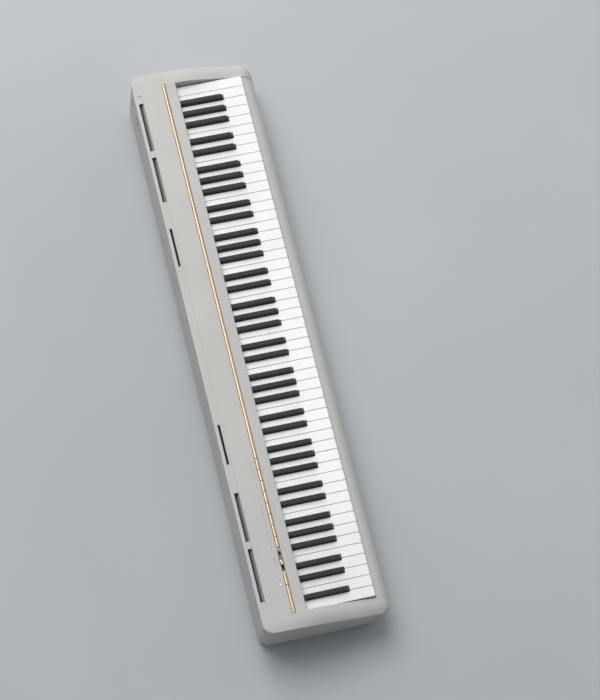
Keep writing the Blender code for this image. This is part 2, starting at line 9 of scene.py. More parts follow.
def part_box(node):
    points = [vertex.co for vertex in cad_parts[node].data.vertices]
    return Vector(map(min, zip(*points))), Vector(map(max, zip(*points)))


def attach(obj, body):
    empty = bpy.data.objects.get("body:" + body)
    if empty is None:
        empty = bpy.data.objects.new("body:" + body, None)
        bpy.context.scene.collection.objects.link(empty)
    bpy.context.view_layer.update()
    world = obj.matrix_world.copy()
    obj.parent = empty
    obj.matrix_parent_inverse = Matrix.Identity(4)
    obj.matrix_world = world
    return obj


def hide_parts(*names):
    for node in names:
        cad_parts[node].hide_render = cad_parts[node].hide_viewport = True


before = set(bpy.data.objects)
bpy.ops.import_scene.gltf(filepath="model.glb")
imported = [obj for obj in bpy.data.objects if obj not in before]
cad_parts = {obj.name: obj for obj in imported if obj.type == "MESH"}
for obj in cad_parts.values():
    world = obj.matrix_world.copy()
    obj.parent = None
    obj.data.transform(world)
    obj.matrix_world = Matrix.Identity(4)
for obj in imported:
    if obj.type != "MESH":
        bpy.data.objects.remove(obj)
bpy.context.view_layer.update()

# ---------------------------------------------------------------- camera
camera_data = bpy.data.cameras.new("camera")
camera_data.sensor_width = 36.0
camera_data.lens = 128.4
camera_data.clip_end = 50.0
camera = bpy.data.objects.new("camera", camera_data)
camera.location = (-1.7328, 0.7733, 5.1535)
camera.rotation_euler = (math.radians(20.03), math.radians(-4.90), math.radians(-103.77))
bpy.context.scene.collection.objects.link(camera)
bpy.context.scene.camera = camera

# ---------------------------------------------------------------- sizes read from the frame
MM = 0.001
cover_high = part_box("top_cover")[1]
case_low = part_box("lower_case")[0]
rail_low, rail_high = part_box("front_rail")
white_low, white_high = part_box("bass_white_keys")
black_low, black_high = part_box("bass_black_keys")
long_low, long_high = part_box("long_trim")
short_low, short_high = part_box("short_trim")
jack_low, jack_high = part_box("jack_plate")

HALF_W = cover_high.x
REAR_Y = cover_high.y
NOSE_Y = rail_low.y
TOP_Z = cover_high.z
BASE_Z = case_low.z
KEY_TOP = white_high.z
KEY_FRONT = white_low.y
WHITE_PITCH = 23.5 * MM
WHITE_COUNT = 52
KEY_GAP = 1.0 * MM
KEYS_LEFT = white_low.x - KEY_GAP / 2
HEAD_LENGTH = 49.5 * MM
BLACK_SLOT = 13.2 * MM
STRIP_Y = (long_low.y + long_high.y) / 2
STRIP_HALF = (long_high.y - long_low.y) / 2

WELL = 613 * MM
PANEL_FRONT = 42 * MM
LIP_UNDER = 143.6 * MM
JOINT_BEND = -107 * MM
JOINT_SLOPE = 0.2
SEAM = 0.15 * MM
EDGE_LIP = 1.5 * MM
SKIN = 2.0 * MM
SHOULDER_RUN = 26 * MM
SHOULDER_START = HALF_W - SHOULDER_RUN
BOW = 1.2 * MM
BOW_MIDDLE = -10 * MM
REAR_CORNER = 22 * MM
FRONT_CORNER = 20 * MM
GROOVE = (122.9 * MM, 132.7 * MM)
GROOVE_END = 597 * MM
GROOVE_DEPTH = 1.2 * MM
REST_SLOT_Y = 127.4 * MM
WIDE_SLOTS = ((338 * MM, 446 * MM), (462 * MM, 578 * MM))
REST_SLOT = (184 * MM, 274 * MM)
STRIP_END = 614.3 * MM
SLOPE_START = 64 * MM
SLOPE_DROP = 2.0 * MM
SLOPE_FADE = 0.010
LIP_START = 0.0445
REAR_FOLD = 0.100
FRONT_FOLD = -0.090
CHEEK_CREST = (-0.112, 0.1195)
CHEEK_FOOT = 0.099
NOSE_HIGH = 0.098
NOSE_LOW = 0.068
NOSE_TURN = 0.048
LINER_HEIGHTS = (0.1005, 0.1196)
PRINT_HEIGHTS = (-0.1 * MM, 0.06 * MM)
THREAD_PITCH = 0.0008
WAVE_PERIOD = 0.314

# ---------------------------------------------------------------- materials


def new_material(name):
    mat = bpy.data.materials.new(name)
    mat.use_nodes = True
    return mat, mat.node_tree, mat.node_tree.nodes["Principled BSDF"]


def set_inputs(node, values):
    for key, value in values.items():
        node.inputs[key].default_value = value


def add_node(tree, kind, **inputs):
    """A shader node with its input values set by name."""
    node = tree.nodes.new(kind)
    set_inputs(node, inputs)
    return node


def object_coords(tree, stretch=(1.0, 1.0, 1.0)):
    """Object coordinates in metres, stretched by a factor per axis."""
    coords = tree.nodes.new("ShaderNodeTexCoord")
    mapping = tree.nodes.new("ShaderNodeMapping")
    mapping.inputs["Scale"].default_value = stretch
    tree.links.new(coords.outputs["Object"], mapping.inputs["Vector"])
    return mapping.outputs["Vector"]


def noise(tree, vector, scale, detail=2.0, roughness=0.5):
    node = add_node(tree, "ShaderNodeTexNoise", Scale=scale, Detail=detail, Roughness=roughness)
    tree.links.new(vector, node.inputs["Vector"])
    return node.outputs["Fac"]


def paint(tree, shader, fac, low, high, start=0.3, end=0.7):
    """A base colour that runs between two colours with a pattern's value."""
    node = tree.nodes.new("ShaderNodeValToRGB")
    for element, position, colour in zip(node.color_ramp.elements, (start, end), (low, high)):
        element.position = position
        element.color = (*colour, 1.0)
    tree.links.new(fac, node.inputs["Fac"])
    tree.links.new(node.outputs["Color"], shader.inputs["Base Color"])


def gloss(tree, shader, fac, low, high):
    """A roughness that varies within a range with a pattern's value."""
    node = tree.nodes.new("ShaderNodeMapRange")
    set_inputs(node, {"From Min": 0.25, "From Max": 0.75, "To Min": low, "To Max": high})
    tree.links.new(fac, node.inputs["Value"])
    tree.links.new(node.outputs["Result"], shader.inputs["Roughness"])


def bump(tree, shader, height, depth, strength):
    """Bump of a real depth in metres."""
    node = add_node(tree, "ShaderNodeBump", Strength=strength, Distance=depth)
    tree.links.new(height, node.inputs["Height"])
    tree.links.new(node.outputs["Normal"], shader.inputs["Normal"])


def shade(colour, factor):
    return tuple(c * factor for c in colour)


def moulded(name, colour, grain=1400.0, depth=0.00004):
    """Moulded plastic: a fine pebbled grain, faint clouding and a slightly uneven gloss."""
    mat, tree, shader = new_material(name)
    coords = object_coords(tree)
    paint(tree, shader, noise(tree, coords, 9.0, 3.0), shade(colour, 0.97), shade(colour, 1.03))
    gloss(tree, shader, noise(tree, coords, 40.0, 4.0), 0.48, 0.6)
    pebbles = add_node(tree, "ShaderNodeTexVoronoi", Scale=grain)
    tree.links.new(coords, pebbles.inputs["Vector"])
    bump(tree, shader, pebbles.outputs["Distance"], depth, 0.6)
    set_inputs(shader, {"Specular IOR Level": 0.42})
    return mat


def gold_lacquer(name):
    """Pale gold metallic lacquer with flakes and a fine drawn grain along the strip."""
    mat, tree, shader = new_material(name)
    grain = noise(tree, object_coords(tree, (30.0, 1600.0, 1600.0)), 1.0, 3.0)
    flakes = noise(tree, object_coords(tree), 3200.0, 1.0)
    paint(tree, shader, flakes, (0.39, 0.285, 0.17), (0.49, 0.37, 0.24))
    gloss(tree, shader, grain, 0.28, 0.38)
    bump(tree, shader, grain, 0.00001, 0.5)
    set_inputs(shader, {"Metallic": 0.72, "Coat Weight": 0.4, "Coat Roughness": 0.1})
    return mat


def key_white(name):
    """Satin acrylic: near white, faintly cloudy, with fine lengthwise polishing marks."""
    mat, tree, shader = new_material(name)
    cloud = noise(tree, object_coords(tree), 22.0, 3.0)
    paint(tree, shader, cloud, (0.885, 0.885, 0.88), (0.925, 0.925, 0.92))
    marks = noise(tree, object_coords(tree, (1500.0, 25.0, 25.0)), 1.0, 2.0)
    gloss(tree, shader, marks, 0.2, 0.3)
    bump(tree, shader, marks, 0.000006, 0.5)
    set_inputs(shader, {"Coat Weight": 0.2, "Coat Roughness": 0.08})
    return mat


def key_black(name):
    """Matt charcoal with a fine lengthwise ebony-like grain."""
    mat, tree, shader = new_material(name)
    grain = noise(tree, object_coords(tree, (1400.0, 50.0, 500.0)), 1.0, 4.0, 0.6)
    paint(tree, shader, grain, (0.015, 0.017, 0.020), (0.024, 0.027, 0.031))
    gloss(tree, shader, grain, 0.42, 0.54)
    bump(tree, shader, grain, 0.00002, 0.5)
    set_inputs(shader, {"Specular IOR Level": 0.32})
    return mat


def metal(name, colour):
    """Plated metal with drawn marks."""
    mat, tree, shader = new_material(name)
    marks = noise(tree, object_coords(tree, (60.0, 900.0, 900.0)), 1.0, 3.0)
    paint(tree, shader, marks, shade(colour, 0.85), colour)
    gloss(tree, shader, marks, 0.25, 0.42)
    bump(tree, shader, marks, 0.00001, 0.4)
    set_inputs(shader, {"Metallic": 1.0})
    return mat


def woven(name, colour):
    """Open acoustic cloth: crossed threads with dark holes between them."""
    mat, tree, shader = new_material(name)
    coords = object_coords(tree)
    mix = tree.nodes.new("ShaderNodeMath")
    mix.operation = "MAXIMUM"
    for number, direction in enumerate("XY"):
        wave = add_node(tree, "ShaderNodeTexWave", Scale=WAVE_PERIOD / THREAD_PITCH)
        wave.bands_direction = direction
        tree.links.new(coords, wave.inputs["Vector"])
        tree.links.new(wave.outputs["Fac"], mix.inputs[number])
    paint(tree, shader, mix.outputs["Value"], shade(colour, 0.3), colour, 0.2, 0.9)
    bump(tree, shader, mix.outputs["Value"], 0.0002, 0.8)
    set_inputs(shader, {"Roughness": 0.9})
    return mat


def cloth_with_painted_shade(name, colour, low, high):
    """Woven cloth with painted shade: it darkens from one height down to another, like shade deepening down a
    slot.
    """
    mat = woven(name, colour)
    tree = mat.node_tree
    base = tree.nodes["Principled BSDF"].inputs["Base Color"]
    weave = base.links[0].from_socket
    split = tree.nodes.new("ShaderNodeSeparateXYZ")
    tree.links.new(object_coords(tree), split.inputs["Vector"])
    depth = tree.nodes.new("ShaderNodeMapRange")
    set_inputs(depth, {"From Min": low, "From Max": high, "To Min": 0.09})
    tree.links.new(split.outputs["Z"], depth.inputs["Value"])
    # painted shade: the weave's colour is scaled down towards the lower height
    painted_shade = tree.nodes.new("ShaderNodeVectorMath")
    painted_shade.operation = "SCALE"
    tree.links.new(weave, painted_shade.inputs[0])
    tree.links.new(depth.outputs["Result"], painted_shade.inputs["Scale"])
    tree.links.new(painted_shade.outputs["Vector"], base)
    return mat


def fibrous(name, colour):
    """Pressed felt: tangled fibres and a soft sheen."""
    mat, tree, shader = new_material(name)
    fuzz = noise(tree, object_coords(tree, (1.0, 3.0, 3.0)), 700.0, 6.0, 0.7)
    paint(tree, shader, fuzz, shade(colour, 0.6), colour)
    bump(tree, shader, fuzz, 0.0003, 0.8)
    set_inputs(shader, {"Roughness": 0.95, "Sheen Weight": 0.4})
    return mat


def rubbery(name, colour=(0.03, 0.03, 0.03)):
    """Matt rubber with dust in its fine pores."""
    mat, tree, shader = new_material(name)
    coords = object_coords(tree)
    dust = noise(tree, coords, 180.0, 5.0, 0.65)
    paint(tree, shader, dust, colour, shade(colour, 1.9), 0.45, 0.8)
    gloss(tree, shader, dust, 0.7, 0.9)
    bump(tree, shader, noise(tree, coords, 2600.0, 2.0), 0.00005, 0.6)
    return mat


def circuit(name):
    """Solder-masked board with lighter tracks."""
    mat, tree, shader = new_material(name)
    coords = object_coords(tree)
    tracks = add_node(tree, "ShaderNodeTexBrick", Scale=160.0)
    set_inputs(tracks, {"Color1": (0.01, 0.10, 0.045, 1.0), "Color2": (0.012, 0.12, 0.05, 1.0),
                        "Mortar": (0.05, 0.30, 0.12, 1.0), "Mortar Size": 0.012})
    tree.links.new(coords, tracks.inputs["Vector"])
    tree.links.new(tracks.outputs["Color"], shader.inputs["Base Color"])
    gloss(tree, shader, noise(tree, coords, 300.0), 0.3, 0.45)
    bump(tree, shader, tracks.outputs["Fac"], 0.00004, 0.5)
    return mat


def ink(name, colour):
    """Printed ink: nearly flat, a little worn."""
    mat, tree, shader = new_material(name)
    worn = noise(tree, object_coords(tree), 900.0, 4.0, 0.6)
    paint(tree, shader, worn, colour, shade(colour, 1.25), 0.4, 0.9)
    set_inputs(shader, {"Roughness": 0.6})
    return mat


def lamp_window(name, colour, glow):
    """A small diffusing window over an indicator lamp."""
    mat, tree, shader = new_material(name)
    haze = noise(tree, object_coords(tree), 1500.0, 2.0)
    paint(tree, shader, haze, shade(colour, 0.8), colour)
    set_inputs(shader, {"Roughness": 0.25, "Emission Color": (*colour, 1.0), "Emission Strength": glow})
    return mat


def pale_floor(name):
    """Plain backdrop paper with a faint tooth."""
    mat, tree, shader = new_material(name)
    coords = object_coords(tree)
    paint(tree, shader, noise(tree, coords, 1.5, 3.0), (0.46, 0.48, 0.495), (0.49, 0.51, 0.525))
    bump(tree, shader, noise(tree, coords, 160.0, 5.0), 0.0002, 0.2)
    set_inputs(shader, {"Roughness": 0.7})
    return mat


CASE = moulded("case_plastic", (0.545, 0.535, 0.515))
CASE_LOWER = moulded("lower_case_plastic", (0.50, 0.495, 0.48), grain=1100.0, depth=0.00006)
GOLD = gold_lacquer("gold_lacquer")
WHITE = key_white("white_key_acrylic")
BLACK = key_black("black_key_composite")
CLOTH = woven("acoustic_cloth", (0.07, 0.07, 0.072))
# painted shade: this cloth's colour darkens down the speaker slots, from near the top to deep inside
PALE_CLOTH_PAINTED_SHADE = cloth_with_painted_shade("grey_acoustic_cloth_painted_shade", (0.64, 0.65, 0.65), TOP_Z - 21 * MM, TOP_Z - 4 * MM)
DARK_PLASTIC = moulded("dark_plastic", (0.03, 0.03, 0.032), grain=1800.0)
CHASSIS = moulded("chassis_plastic", (0.07, 0.07, 0.07), grain=500.0, depth=0.0001)
STEEL = metal("plated_steel", (0.62, 0.61, 0.58))
BRASS = metal("socket_contact", (0.75, 0.62, 0.38))
FELT = fibrous("red_felt", (0.38, 0.03, 0.035))
RUBBER = rubbery("black_rubber")
GREY_RUBBER = rubbery("grey_rubber", (0.16, 0.16, 0.16))
BOARD = circuit("circuit_board")
INK = ink("grey_ink", (0.24, 0.24, 0.24))
INK_FAINT = ink("faint_grey_ink", (0.36, 0.355, 0.35))
SLOT_FLOOR = moulded("slot_floor_plastic", (0.16, 0.16, 0.16), grain=1800.0)
LAMP_OFF = lamp_window("lamp_off", (0.10, 0.09, 0.09), 0.0)
LAMP_ON = lamp_window("lamp_on", (0.95, 0.95, 0.9), 0.8)
FLOOR = pale_floor("pale_floor")

# ---------------------------------------------------------------- mesh helpers


SHARP_ANGLE = 32.0
UPRIGHT = Matrix.Identity(3)
FACING_REAR = Matrix.Rotation(math.radians(-90), 3, "X")
pieces = []


def link(name, bm, mat, body, angle=SHARP_ANGLE):
    """Turn a bmesh into a piece that rides on a body."""
    mesh = bpy.data.meshes.new(name)
    bm.to_mesh(mesh)
    bm.free()
    mesh.shade_smooth()
    mesh.set_sharp_from_angle(angle=math.radians(angle))
    mesh.materials.append(mat)
    obj = bpy.data.objects.new(name, mesh)
    bpy.context.scene.collection.objects.link(obj)
    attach(obj, body)
    pieces.append(obj)
    return obj


def add_grid(bm, lines, keep=None):
    """Faces between neighbouring lines of equally many points. keep says which cells exist."""
    rows = [[bm.verts.new(p) for p in line] for line in lines]
    for i in range(len(rows) - 1):
        for j in range(len(rows[i]) - 1):
            if keep is None or keep(i, j):
                bm.faces.new((rows[i][j], rows[i + 1][j], rows[i + 1][j + 1], rows[i][j + 1]))
    return rows


def weld(bm, distance):
    """Merge points nearer than a distance, and delete what collapses or is left loose."""
    bmesh.ops.remove_doubles(bm, verts=bm.verts, dist=distance)
    bmesh.ops.dissolve_degenerate(bm, edges=bm.edges, dist=0.000002)
    loose = [v for v in bm.verts if not v.link_faces]
    bmesh.ops.delete(bm, geom=loose, context="VERTS")


def bridge(bm, rings, capped=True):
    """Faces between neighbouring closed rings, with the first and last ring filled."""
    for lower, upper in zip(rings, rings[1:]):
        for i in range(len(lower)):
            j = (i + 1) % len(lower)
            bm.faces.new((lower[i], lower[j], upper[j], upper[i]))
    if capped:
        bm.faces.new(rings[0][::-1])
        bm.faces.new(rings[-1])


def add_tube(bm, sections):
    """A closed solid through neighbouring sections of equally many points."""
    rows = add_grid(bm, [section + [section[0]] for section in sections])
    bm.faces.new(rows[0][:-1])
    bm.faces.new(rows[-1][:-1])
    weld(bm, 0.000001)
    bmesh.ops.recalc_face_normals(bm, faces=bm.faces)


def face_out(bm, upward):
    """Make the normals agree, with the faces that are flat at the top or bottom facing out."""
    bmesh.ops.recalc_face_normals(bm, faces=bm.faces)
    total = sum(f.normal.z * f.calc_area() for f in bm.faces)
    if (total > 0) != upward:
        bmesh.ops.reverse_faces(bm, faces=bm.faces)


def bezier(p0, p1, p2, p3, steps):
    """Points after p0 up to p3 on a cubic curve."""
    points = []
    for i in range(1, steps + 1):
        t = i / steps
        weights = ((1 - t) ** 3, 3 * t * (1 - t) ** 2, 3 * t * t * (1 - t), t ** 3)
        points.append(tuple(sum(w * p[k] for w, p in zip(weights, (p0, p1, p2, p3))) for k in range(2)))
    return points


def arc(centre, radius, start, end, steps):
    points = []
    for i in range(steps + 1):
        a = math.radians(start + (end - start) * i / steps)
        points.append((centre[0] + radius * math.cos(a), centre[1] + radius * math.sin(a)))
    return points


def inset_outline(outline, distance):
    """A closed counter-clockwise outline moved inwards, with mitred corners."""
    moved = []
    count = len(outline)
    for i in range(count):
        a = Vector(outline[i - 1])
        b = Vector(outline[i])
        c = Vector(outline[(i + 1) % count])
        first = (b - a).normalized()
        second = (c - b).normalized()
        n1 = Vector((-first.y, first.x))
        n2 = Vector((-second.y, second.x))
        bisector = (n1 + n2) / max(0.25, 1 + n1.dot(n2))
        moved.append(tuple(b + bisector * distance))
    return moved


def rounded_prism(bm, outline, low, high, radius, steps, round_base=False):
    """A flat outline raised between two heights, with its top edge rounded."""
    levels = [(0.0, low)]
    if round_base:
        levels = [(radius, low), (0.0, low + radius)]
    for i in range(steps + 1):
        a = math.pi / 2 * i / steps
        levels.append((radius * (1 - math.cos(a)), high - radius * (1 - math.sin(a))))
    rings = []
    for inset, z in levels:
        points = inset_outline(outline, inset) if inset > 0 else outline
        rings.append([bm.verts.new((x, y, z)) for x, y in points])
    bridge(bm, rings)


def span(middle, half):
    return middle - half, middle + half


def rounded_rectangle(x0, x1, y0, y1, radius, steps=4):
    points = []
    for cx, cy, start in ((x1 - radius, y1 - radius, 0), (x0 + radius, y1 - radius, 90),
                          (x0 + radius, y0 + radius, 180), (x1 - radius, y0 + radius, 270)):
        points += arc((cx, cy), radius, start, start + 90, steps)
    return points


def block(bm, xs, ys, zs, corner=0.4 * MM, edge=0.2 * MM, corner_steps=2, edge_steps=1):
    """An upright block between pairs of x, y and z, with rounded corners and top edge."""
    rounded_prism(bm, rounded_rectangle(*xs, *ys, corner, corner_steps), *zs, edge, edge_steps)


def block_piece(name, mat, slot, *sizes):
    """A block that is a piece of its own on the case."""
    bm = bmesh.new()
    block(bm, *sizes)
    return link(name, bm, mat, "case")


def turned(bm, profile, centre, sides, spin=UPRIGHT):
    """A turned solid: (radius, height) points carried round an axis through a centre."""
    rings = []
    for radius, height in profile:
        ring = []
        for i in range(sides):
            a = 2 * math.pi * i / sides
            local = Vector((radius * math.cos(a), radius * math.sin(a), height))
            ring.append(bm.verts.new(Vector(centre) + spin @ local))
        rings.append(ring)
    bridge(bm, rings)


def add_solidify(obj, thickness):
    shell = obj.modifiers.new("thickness", "SOLIDIFY")
    shell.thickness = thickness
    shell.offset = -1.0
    shell.use_even_offset = False
    return shell


# ---------------------------------------------------------------- the case's form


def nose_curve(steps):
    """Side view of the front, from the cheek's front crest down to the base."""
    points = [CHEEK_CREST]
    points += bezier(CHEEK_CREST, (-0.126, 0.117), (NOSE_Y, NOSE_HIGH), (NOSE_Y, NOSE_LOW), steps)
    points += bezier(points[-1], (NOSE_Y, NOSE_TURN), (-0.131, 0.028), (-0.126, 0.014), steps // 2)
    return points


NOSE = nose_curve(28)


def nose_y(z):
    """Foremost y of the case at a height."""
    for (y0, z0), (y1, z1) in zip(NOSE, NOSE[1:]):
        if z1 <= z <= z0:
            return y0 + (y1 - y0) * (z0 - z) / (z0 - z1)
    return NOSE[0][0] if z > NOSE[0][1] else NOSE[-1][0]


CHEEK_START = (0.030, TOP_Z)
CHEEK_SWEEP = [CHEEK_START] + bezier(CHEEK_START, (-0.012, TOP_Z), (-0.030, 0.134), CHEEK_CREST, 24)


def cheek_height(y):
    """Height of the cheek's inner top edge."""
    if y >= CHEEK_START[0]:
        return TOP_Z
    for (y0, z0), (y1, z1) in zip(CHEEK_SWEEP, CHEEK_SWEEP[1:]):
        if y1 <= y <= y0:
            return z0 + (z1 - z0) * (y0 - y) / (y0 - y1)
    return CHEEK_SWEEP[-1][1]


def parting(y):
    """Height of the joint between the cover and the lower case, a little under the cheek's top."""
    if y < JOINT_BEND:
        return parting(JOINT_BEND) + JOINT_SLOPE * (y - JOINT_BEND)
    t = min(1.0, max(0.0, (0.095 - y) / 0.095))
    return cheek_height(y) - (4.5 + 6.8 * t * t * (3 - 2 * t)) * MM


def cheek_profile():
    """Side view of a cheek's top, from beside the panel's edge to the joint at the front."""
    points = [(LIP_START, TOP_Z), (PANEL_FRONT, TOP_Z), (0.036, TOP_Z), *CHEEK_SWEEP]
    for y, z in NOSE[1:]:
        if z <= parting(y):
            last_y, last_z = points[-1]
            share = (last_z - parting(last_y)) / ((last_z - parting(last_y)) + (parting(y) - z))
            points.append((last_y + (y - last_y) * share, last_z + (z - last_z) * share))
            break
        points.append((y, z))
    return points


CHEEK = cheek_profile()
FRONT_Y = CHEEK[-1][0]


def rear_limit(x):
    over = abs(x) - (HALF_W - REAR_CORNER)
    if over <= 0:
        return REAR_Y
    return REAR_Y - REAR_CORNER + math.sqrt(max(0.0, REAR_CORNER ** 2 - over ** 2))


def front_limit(x):
    over = abs(x) - (HALF_W - FRONT_CORNER)
    if over <= 0:
        return FRONT_Y
    return FRONT_Y + FRONT_CORNER - math.sqrt(max(0.0, FRONT_CORNER ** 2 - over ** 2))


def bowed(x, y):
    """The ends are slightly bowed in the top view."""
    share = max(0.0, (abs(x) - SHOULDER_START) / SHOULDER_RUN)
    return x - math.copysign(BOW * share * ((y - BOW_MIDDLE) / 0.1) ** 2, x)


def shoulder_drop(x, depth):
    """Fall of the softly crowned shoulder at a distance along the case, for its fall at the edge."""
    run = min(SHOULDER_RUN, abs(x) - SHOULDER_START)
    if run <= 0 or depth <= 0:
        return 0.0
    turn = 2 * math.atan(depth / SHOULDER_RUN)
    crown = SHOULDER_RUN / math.sin(turn)
    return crown - math.sqrt(crown ** 2 - run ** 2)


def cover_point(x, y, z, sink):
    """Put a point of the straight section at x onto the crowned end of the cover."""
    new_y = y
    lift = 0.0
    if y > REAR_FOLD:
        new_y = REAR_FOLD + (y - REAR_FOLD) * (rear_limit(x) - REAR_FOLD) / (REAR_Y - REAR_FOLD)
    if y < FRONT_FOLD:
        new_y = FRONT_FOLD + (y - FRONT_FOLD) * (front_limit(x) - FRONT_FOLD) / (FRONT_Y - FRONT_FOLD)
        lift = parting(new_y) - parting(y)
    z += lift
    joint = parting(new_y)
    z -= shoulder_drop(x, z - joint - EDGE_LIP)
    z -= max(0.0, z - joint) * sink
    return Vector((bowed(x, new_y), new_y, z + SEAM))


def full_dip(x):
    """Dip of the panel's front edge at x, fading out towards the ends of the keys' well."""
    return SLOPE_DROP * min(1.0, max(0.0, (WELL - abs(x)) / SLOPE_FADE))


def slope_at(x, y):
    """How far the panel's front slope dips below the top."""
    if y >= SLOPE_START:
        return 0.0
    return full_dip(x) * (SLOPE_START - y) / (SLOPE_START - PANEL_FRONT)


def shared_section(x, sink):
    """Section of the cover from the rear joint to the start of the panel's lip."""
    crisp = 1.5 * MM
    grooved = abs(x) <= GROOVE_END
    recessed = abs(x) <= STRIP_END
    edge = 0.35 * MM
    g = GROOVE_DEPTH if grooved else 0.0
    ge = edge if grooved else 0.0
    r = 2.0 * MM if recessed else 0.0
    re = edge if recessed else 0.0
    y0 = STRIP_Y - STRIP_HALF - 0.3 * MM
    y1 = STRIP_Y + STRIP_HALF + 0.3 * MM
    top = TOP_Z
    section = [(REAR_Y, parting(REAR_Y)), (REAR_Y, top - crisp), (REAR_Y - 0.44 * MM, top - 0.44 * MM),
               (REAR_Y - crisp, top), (GROOVE[1] + edge, top), (GROOVE[1], top - ge), (GROOVE[1], top - g),
               (REST_SLOT_Y, top - g), (GROOVE[0], top - g), (GROOVE[0], top - ge), (GROOVE[0] - edge, top),
               (REAR_FOLD, top), (0.086, top), (y1 + edge, top), (y1, top - re), (y1, top - r), (y0, top - r),
               (y0, top - re), (y0 - edge, top), (SLOPE_START, top), (LIP_START, top)]
    points = []
    for y, z in section:
        points.append(cover_point(x, y, z - slope_at(x, y), sink))
    crest = points[3].z
    radius = min(crisp, (crest - points[0].z) * 0.5)
    points[1].z = crest - radius
    points[2].z = crest - radius * 0.29
    return points


def middle_x(name):
    """Middle of a node along the case."""
    low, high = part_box(name)
    return (low.x + high.x) / 2


def windows():
    """Ranges of x where the strip's recess is open: buttons, slider and power button."""
    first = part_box("panel_button_8")[0]
    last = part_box("panel_button_1")[1]
    power_low, power_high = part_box("power_button")
    margin = 0.6 * MM
    return [(first.x - margin, last.x + margin), (power_low.x - margin, power_high.x + margin),
            span(middle_x("volume_knob"), 23 * MM)]


def both_sides(ranges):
    return [*ranges, *((-b, -a) for a, b in ranges)]


def inside(value, ranges):
    return any(a < value < b for a, b in ranges)


def cover_columns():
    """Every x at which the cover's section changes."""
    xs = {0.0}
    marks = [WELL, WELL + 0.3 * MM, WELL + 1.0 * MM, STRIP_END, STRIP_END + 0.3 * MM, 0.617, SHOULDER_START,
             GROOVE_END, GROOVE_END + 0.3 * MM, 0.605, 0.609, HALF_W - 0.6 * MM, HALF_W - 0.15 * MM]
    marks += [v for pair in (*WIDE_SLOTS, REST_SLOT) for v in pair]
    corner_start = HALF_W - REAR_CORNER
    marks += [SHOULDER_START + (corner_start - SHOULDER_START) * i / 4 for i in range(1, 5)]
    marks += [corner_start + REAR_CORNER * math.sin(math.radians(90 * i / 12)) for i in range(1, 13)]
    xs.update(marks)
    xs.update(-m for m in marks)
    xs.update(v for pair in windows() for v in pair)
    step = 0.060
    xs.update(step * i for i in range(-10, 11))
    ordered = sorted(xs)
    kept = [ordered[0]]
    for x in ordered[1:]:
        if x - kept[-1] > 0.02 * MM:
            kept.append(x)
    columns = [(x, 0.0) for x in kept]
    return [(kept[0], 1.0), (kept[0], 0.3), *columns, (kept[-1], 0.3), (kept[-1], 1.0)]


WELL_EDGE = {WELL: 1.0 * MM, WELL + 0.3 * MM: 0.3 * MM}


def cheek_section(x, sink):
    """Section of a cheek from beside the panel's edge to the front joint."""
    drop = next((d for edge, d in WELL_EDGE.items() if abs(abs(x) - edge) < 0.01 * MM), 0.0)
    points = []
    for i, (y, z) in enumerate(CHEEK):
        point = cover_point(x, y, z, sink)
        if i > 0:
            point.z -= min(drop, point.z - parting(point.y))
        points.append(point)
    return points


def lip_section(x):
    """The panel's rounded front lip and its underside."""
    dip = full_dip(x)
    start = (LIP_START, TOP_Z + SEAM - slope_at(x, LIP_START))
    bend = (0.0431, start[1] - 0.1 * dip - 0.1 * MM)
    face = (PANEL_FRONT, 0.1455)
    profile = [start] + bezier(start, bend, (PANEL_FRONT, 0.1475), face, 5)
    profile += bezier(face, (PANEL_FRONT, LIP_UNDER + 0.4 * MM), (PANEL_FRONT + 0.4 * MM, LIP_UNDER),
                      (PANEL_FRONT + 1.4 * MM, LIP_UNDER), 3)
    profile.append((PANEL_FRONT + 5 * MM, LIP_UNDER))
    return [Vector((x, y, z)) for y, z in profile]


def make_top_cover():
    columns = cover_columns()
    wide = both_sides(WIDE_SLOTS)
    rest = both_sides([REST_SLOT])
    open_windows = windows()
    bm = bmesh.new()

    def keep(i, j):
        middle = (columns[i][0] + columns[i + 1][0]) / 2
        if j in (6, 7) and inside(middle, wide):
            return False
        if j == 6 and inside(middle, rest):
            return False
        return not (j == 15 and inside(middle, open_windows))

    add_grid(bm, [shared_section(x, sink) for x, sink in columns], keep)
    reach = 0.005 * MM
    add_grid(bm, [lip_section(x) for x, _ in columns if abs(x) <= WELL + reach])
    for side in (-1, 1):
        add_grid(bm, [cheek_section(x, sink) for x, sink in columns if side * x >= WELL - reach])
        crest = [p for p in cheek_section(side * WELL, 0.0) if p.y <= PANEL_FRONT + reach]
        foot = [Vector((p.x, p.y, CHEEK_FOOT)) for p in crest]
        add_grid(bm, [crest, foot])
    weld(bm, 0.000004)
    face_out(bm, True)
    cover = link("top_cover_shell", bm, CASE, "case")
    add_solidify(cover, SKIN)
    bake(cover)
    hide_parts("top_cover")


# ---------------------------------------------------------------- lower case
RAIL_HALF = WELL
RAIL_FOOT = rail_low.z
FILLET_TOP = 0.020
BASE_HALF = 0.643
LOWER_INSET = 0.4 * MM


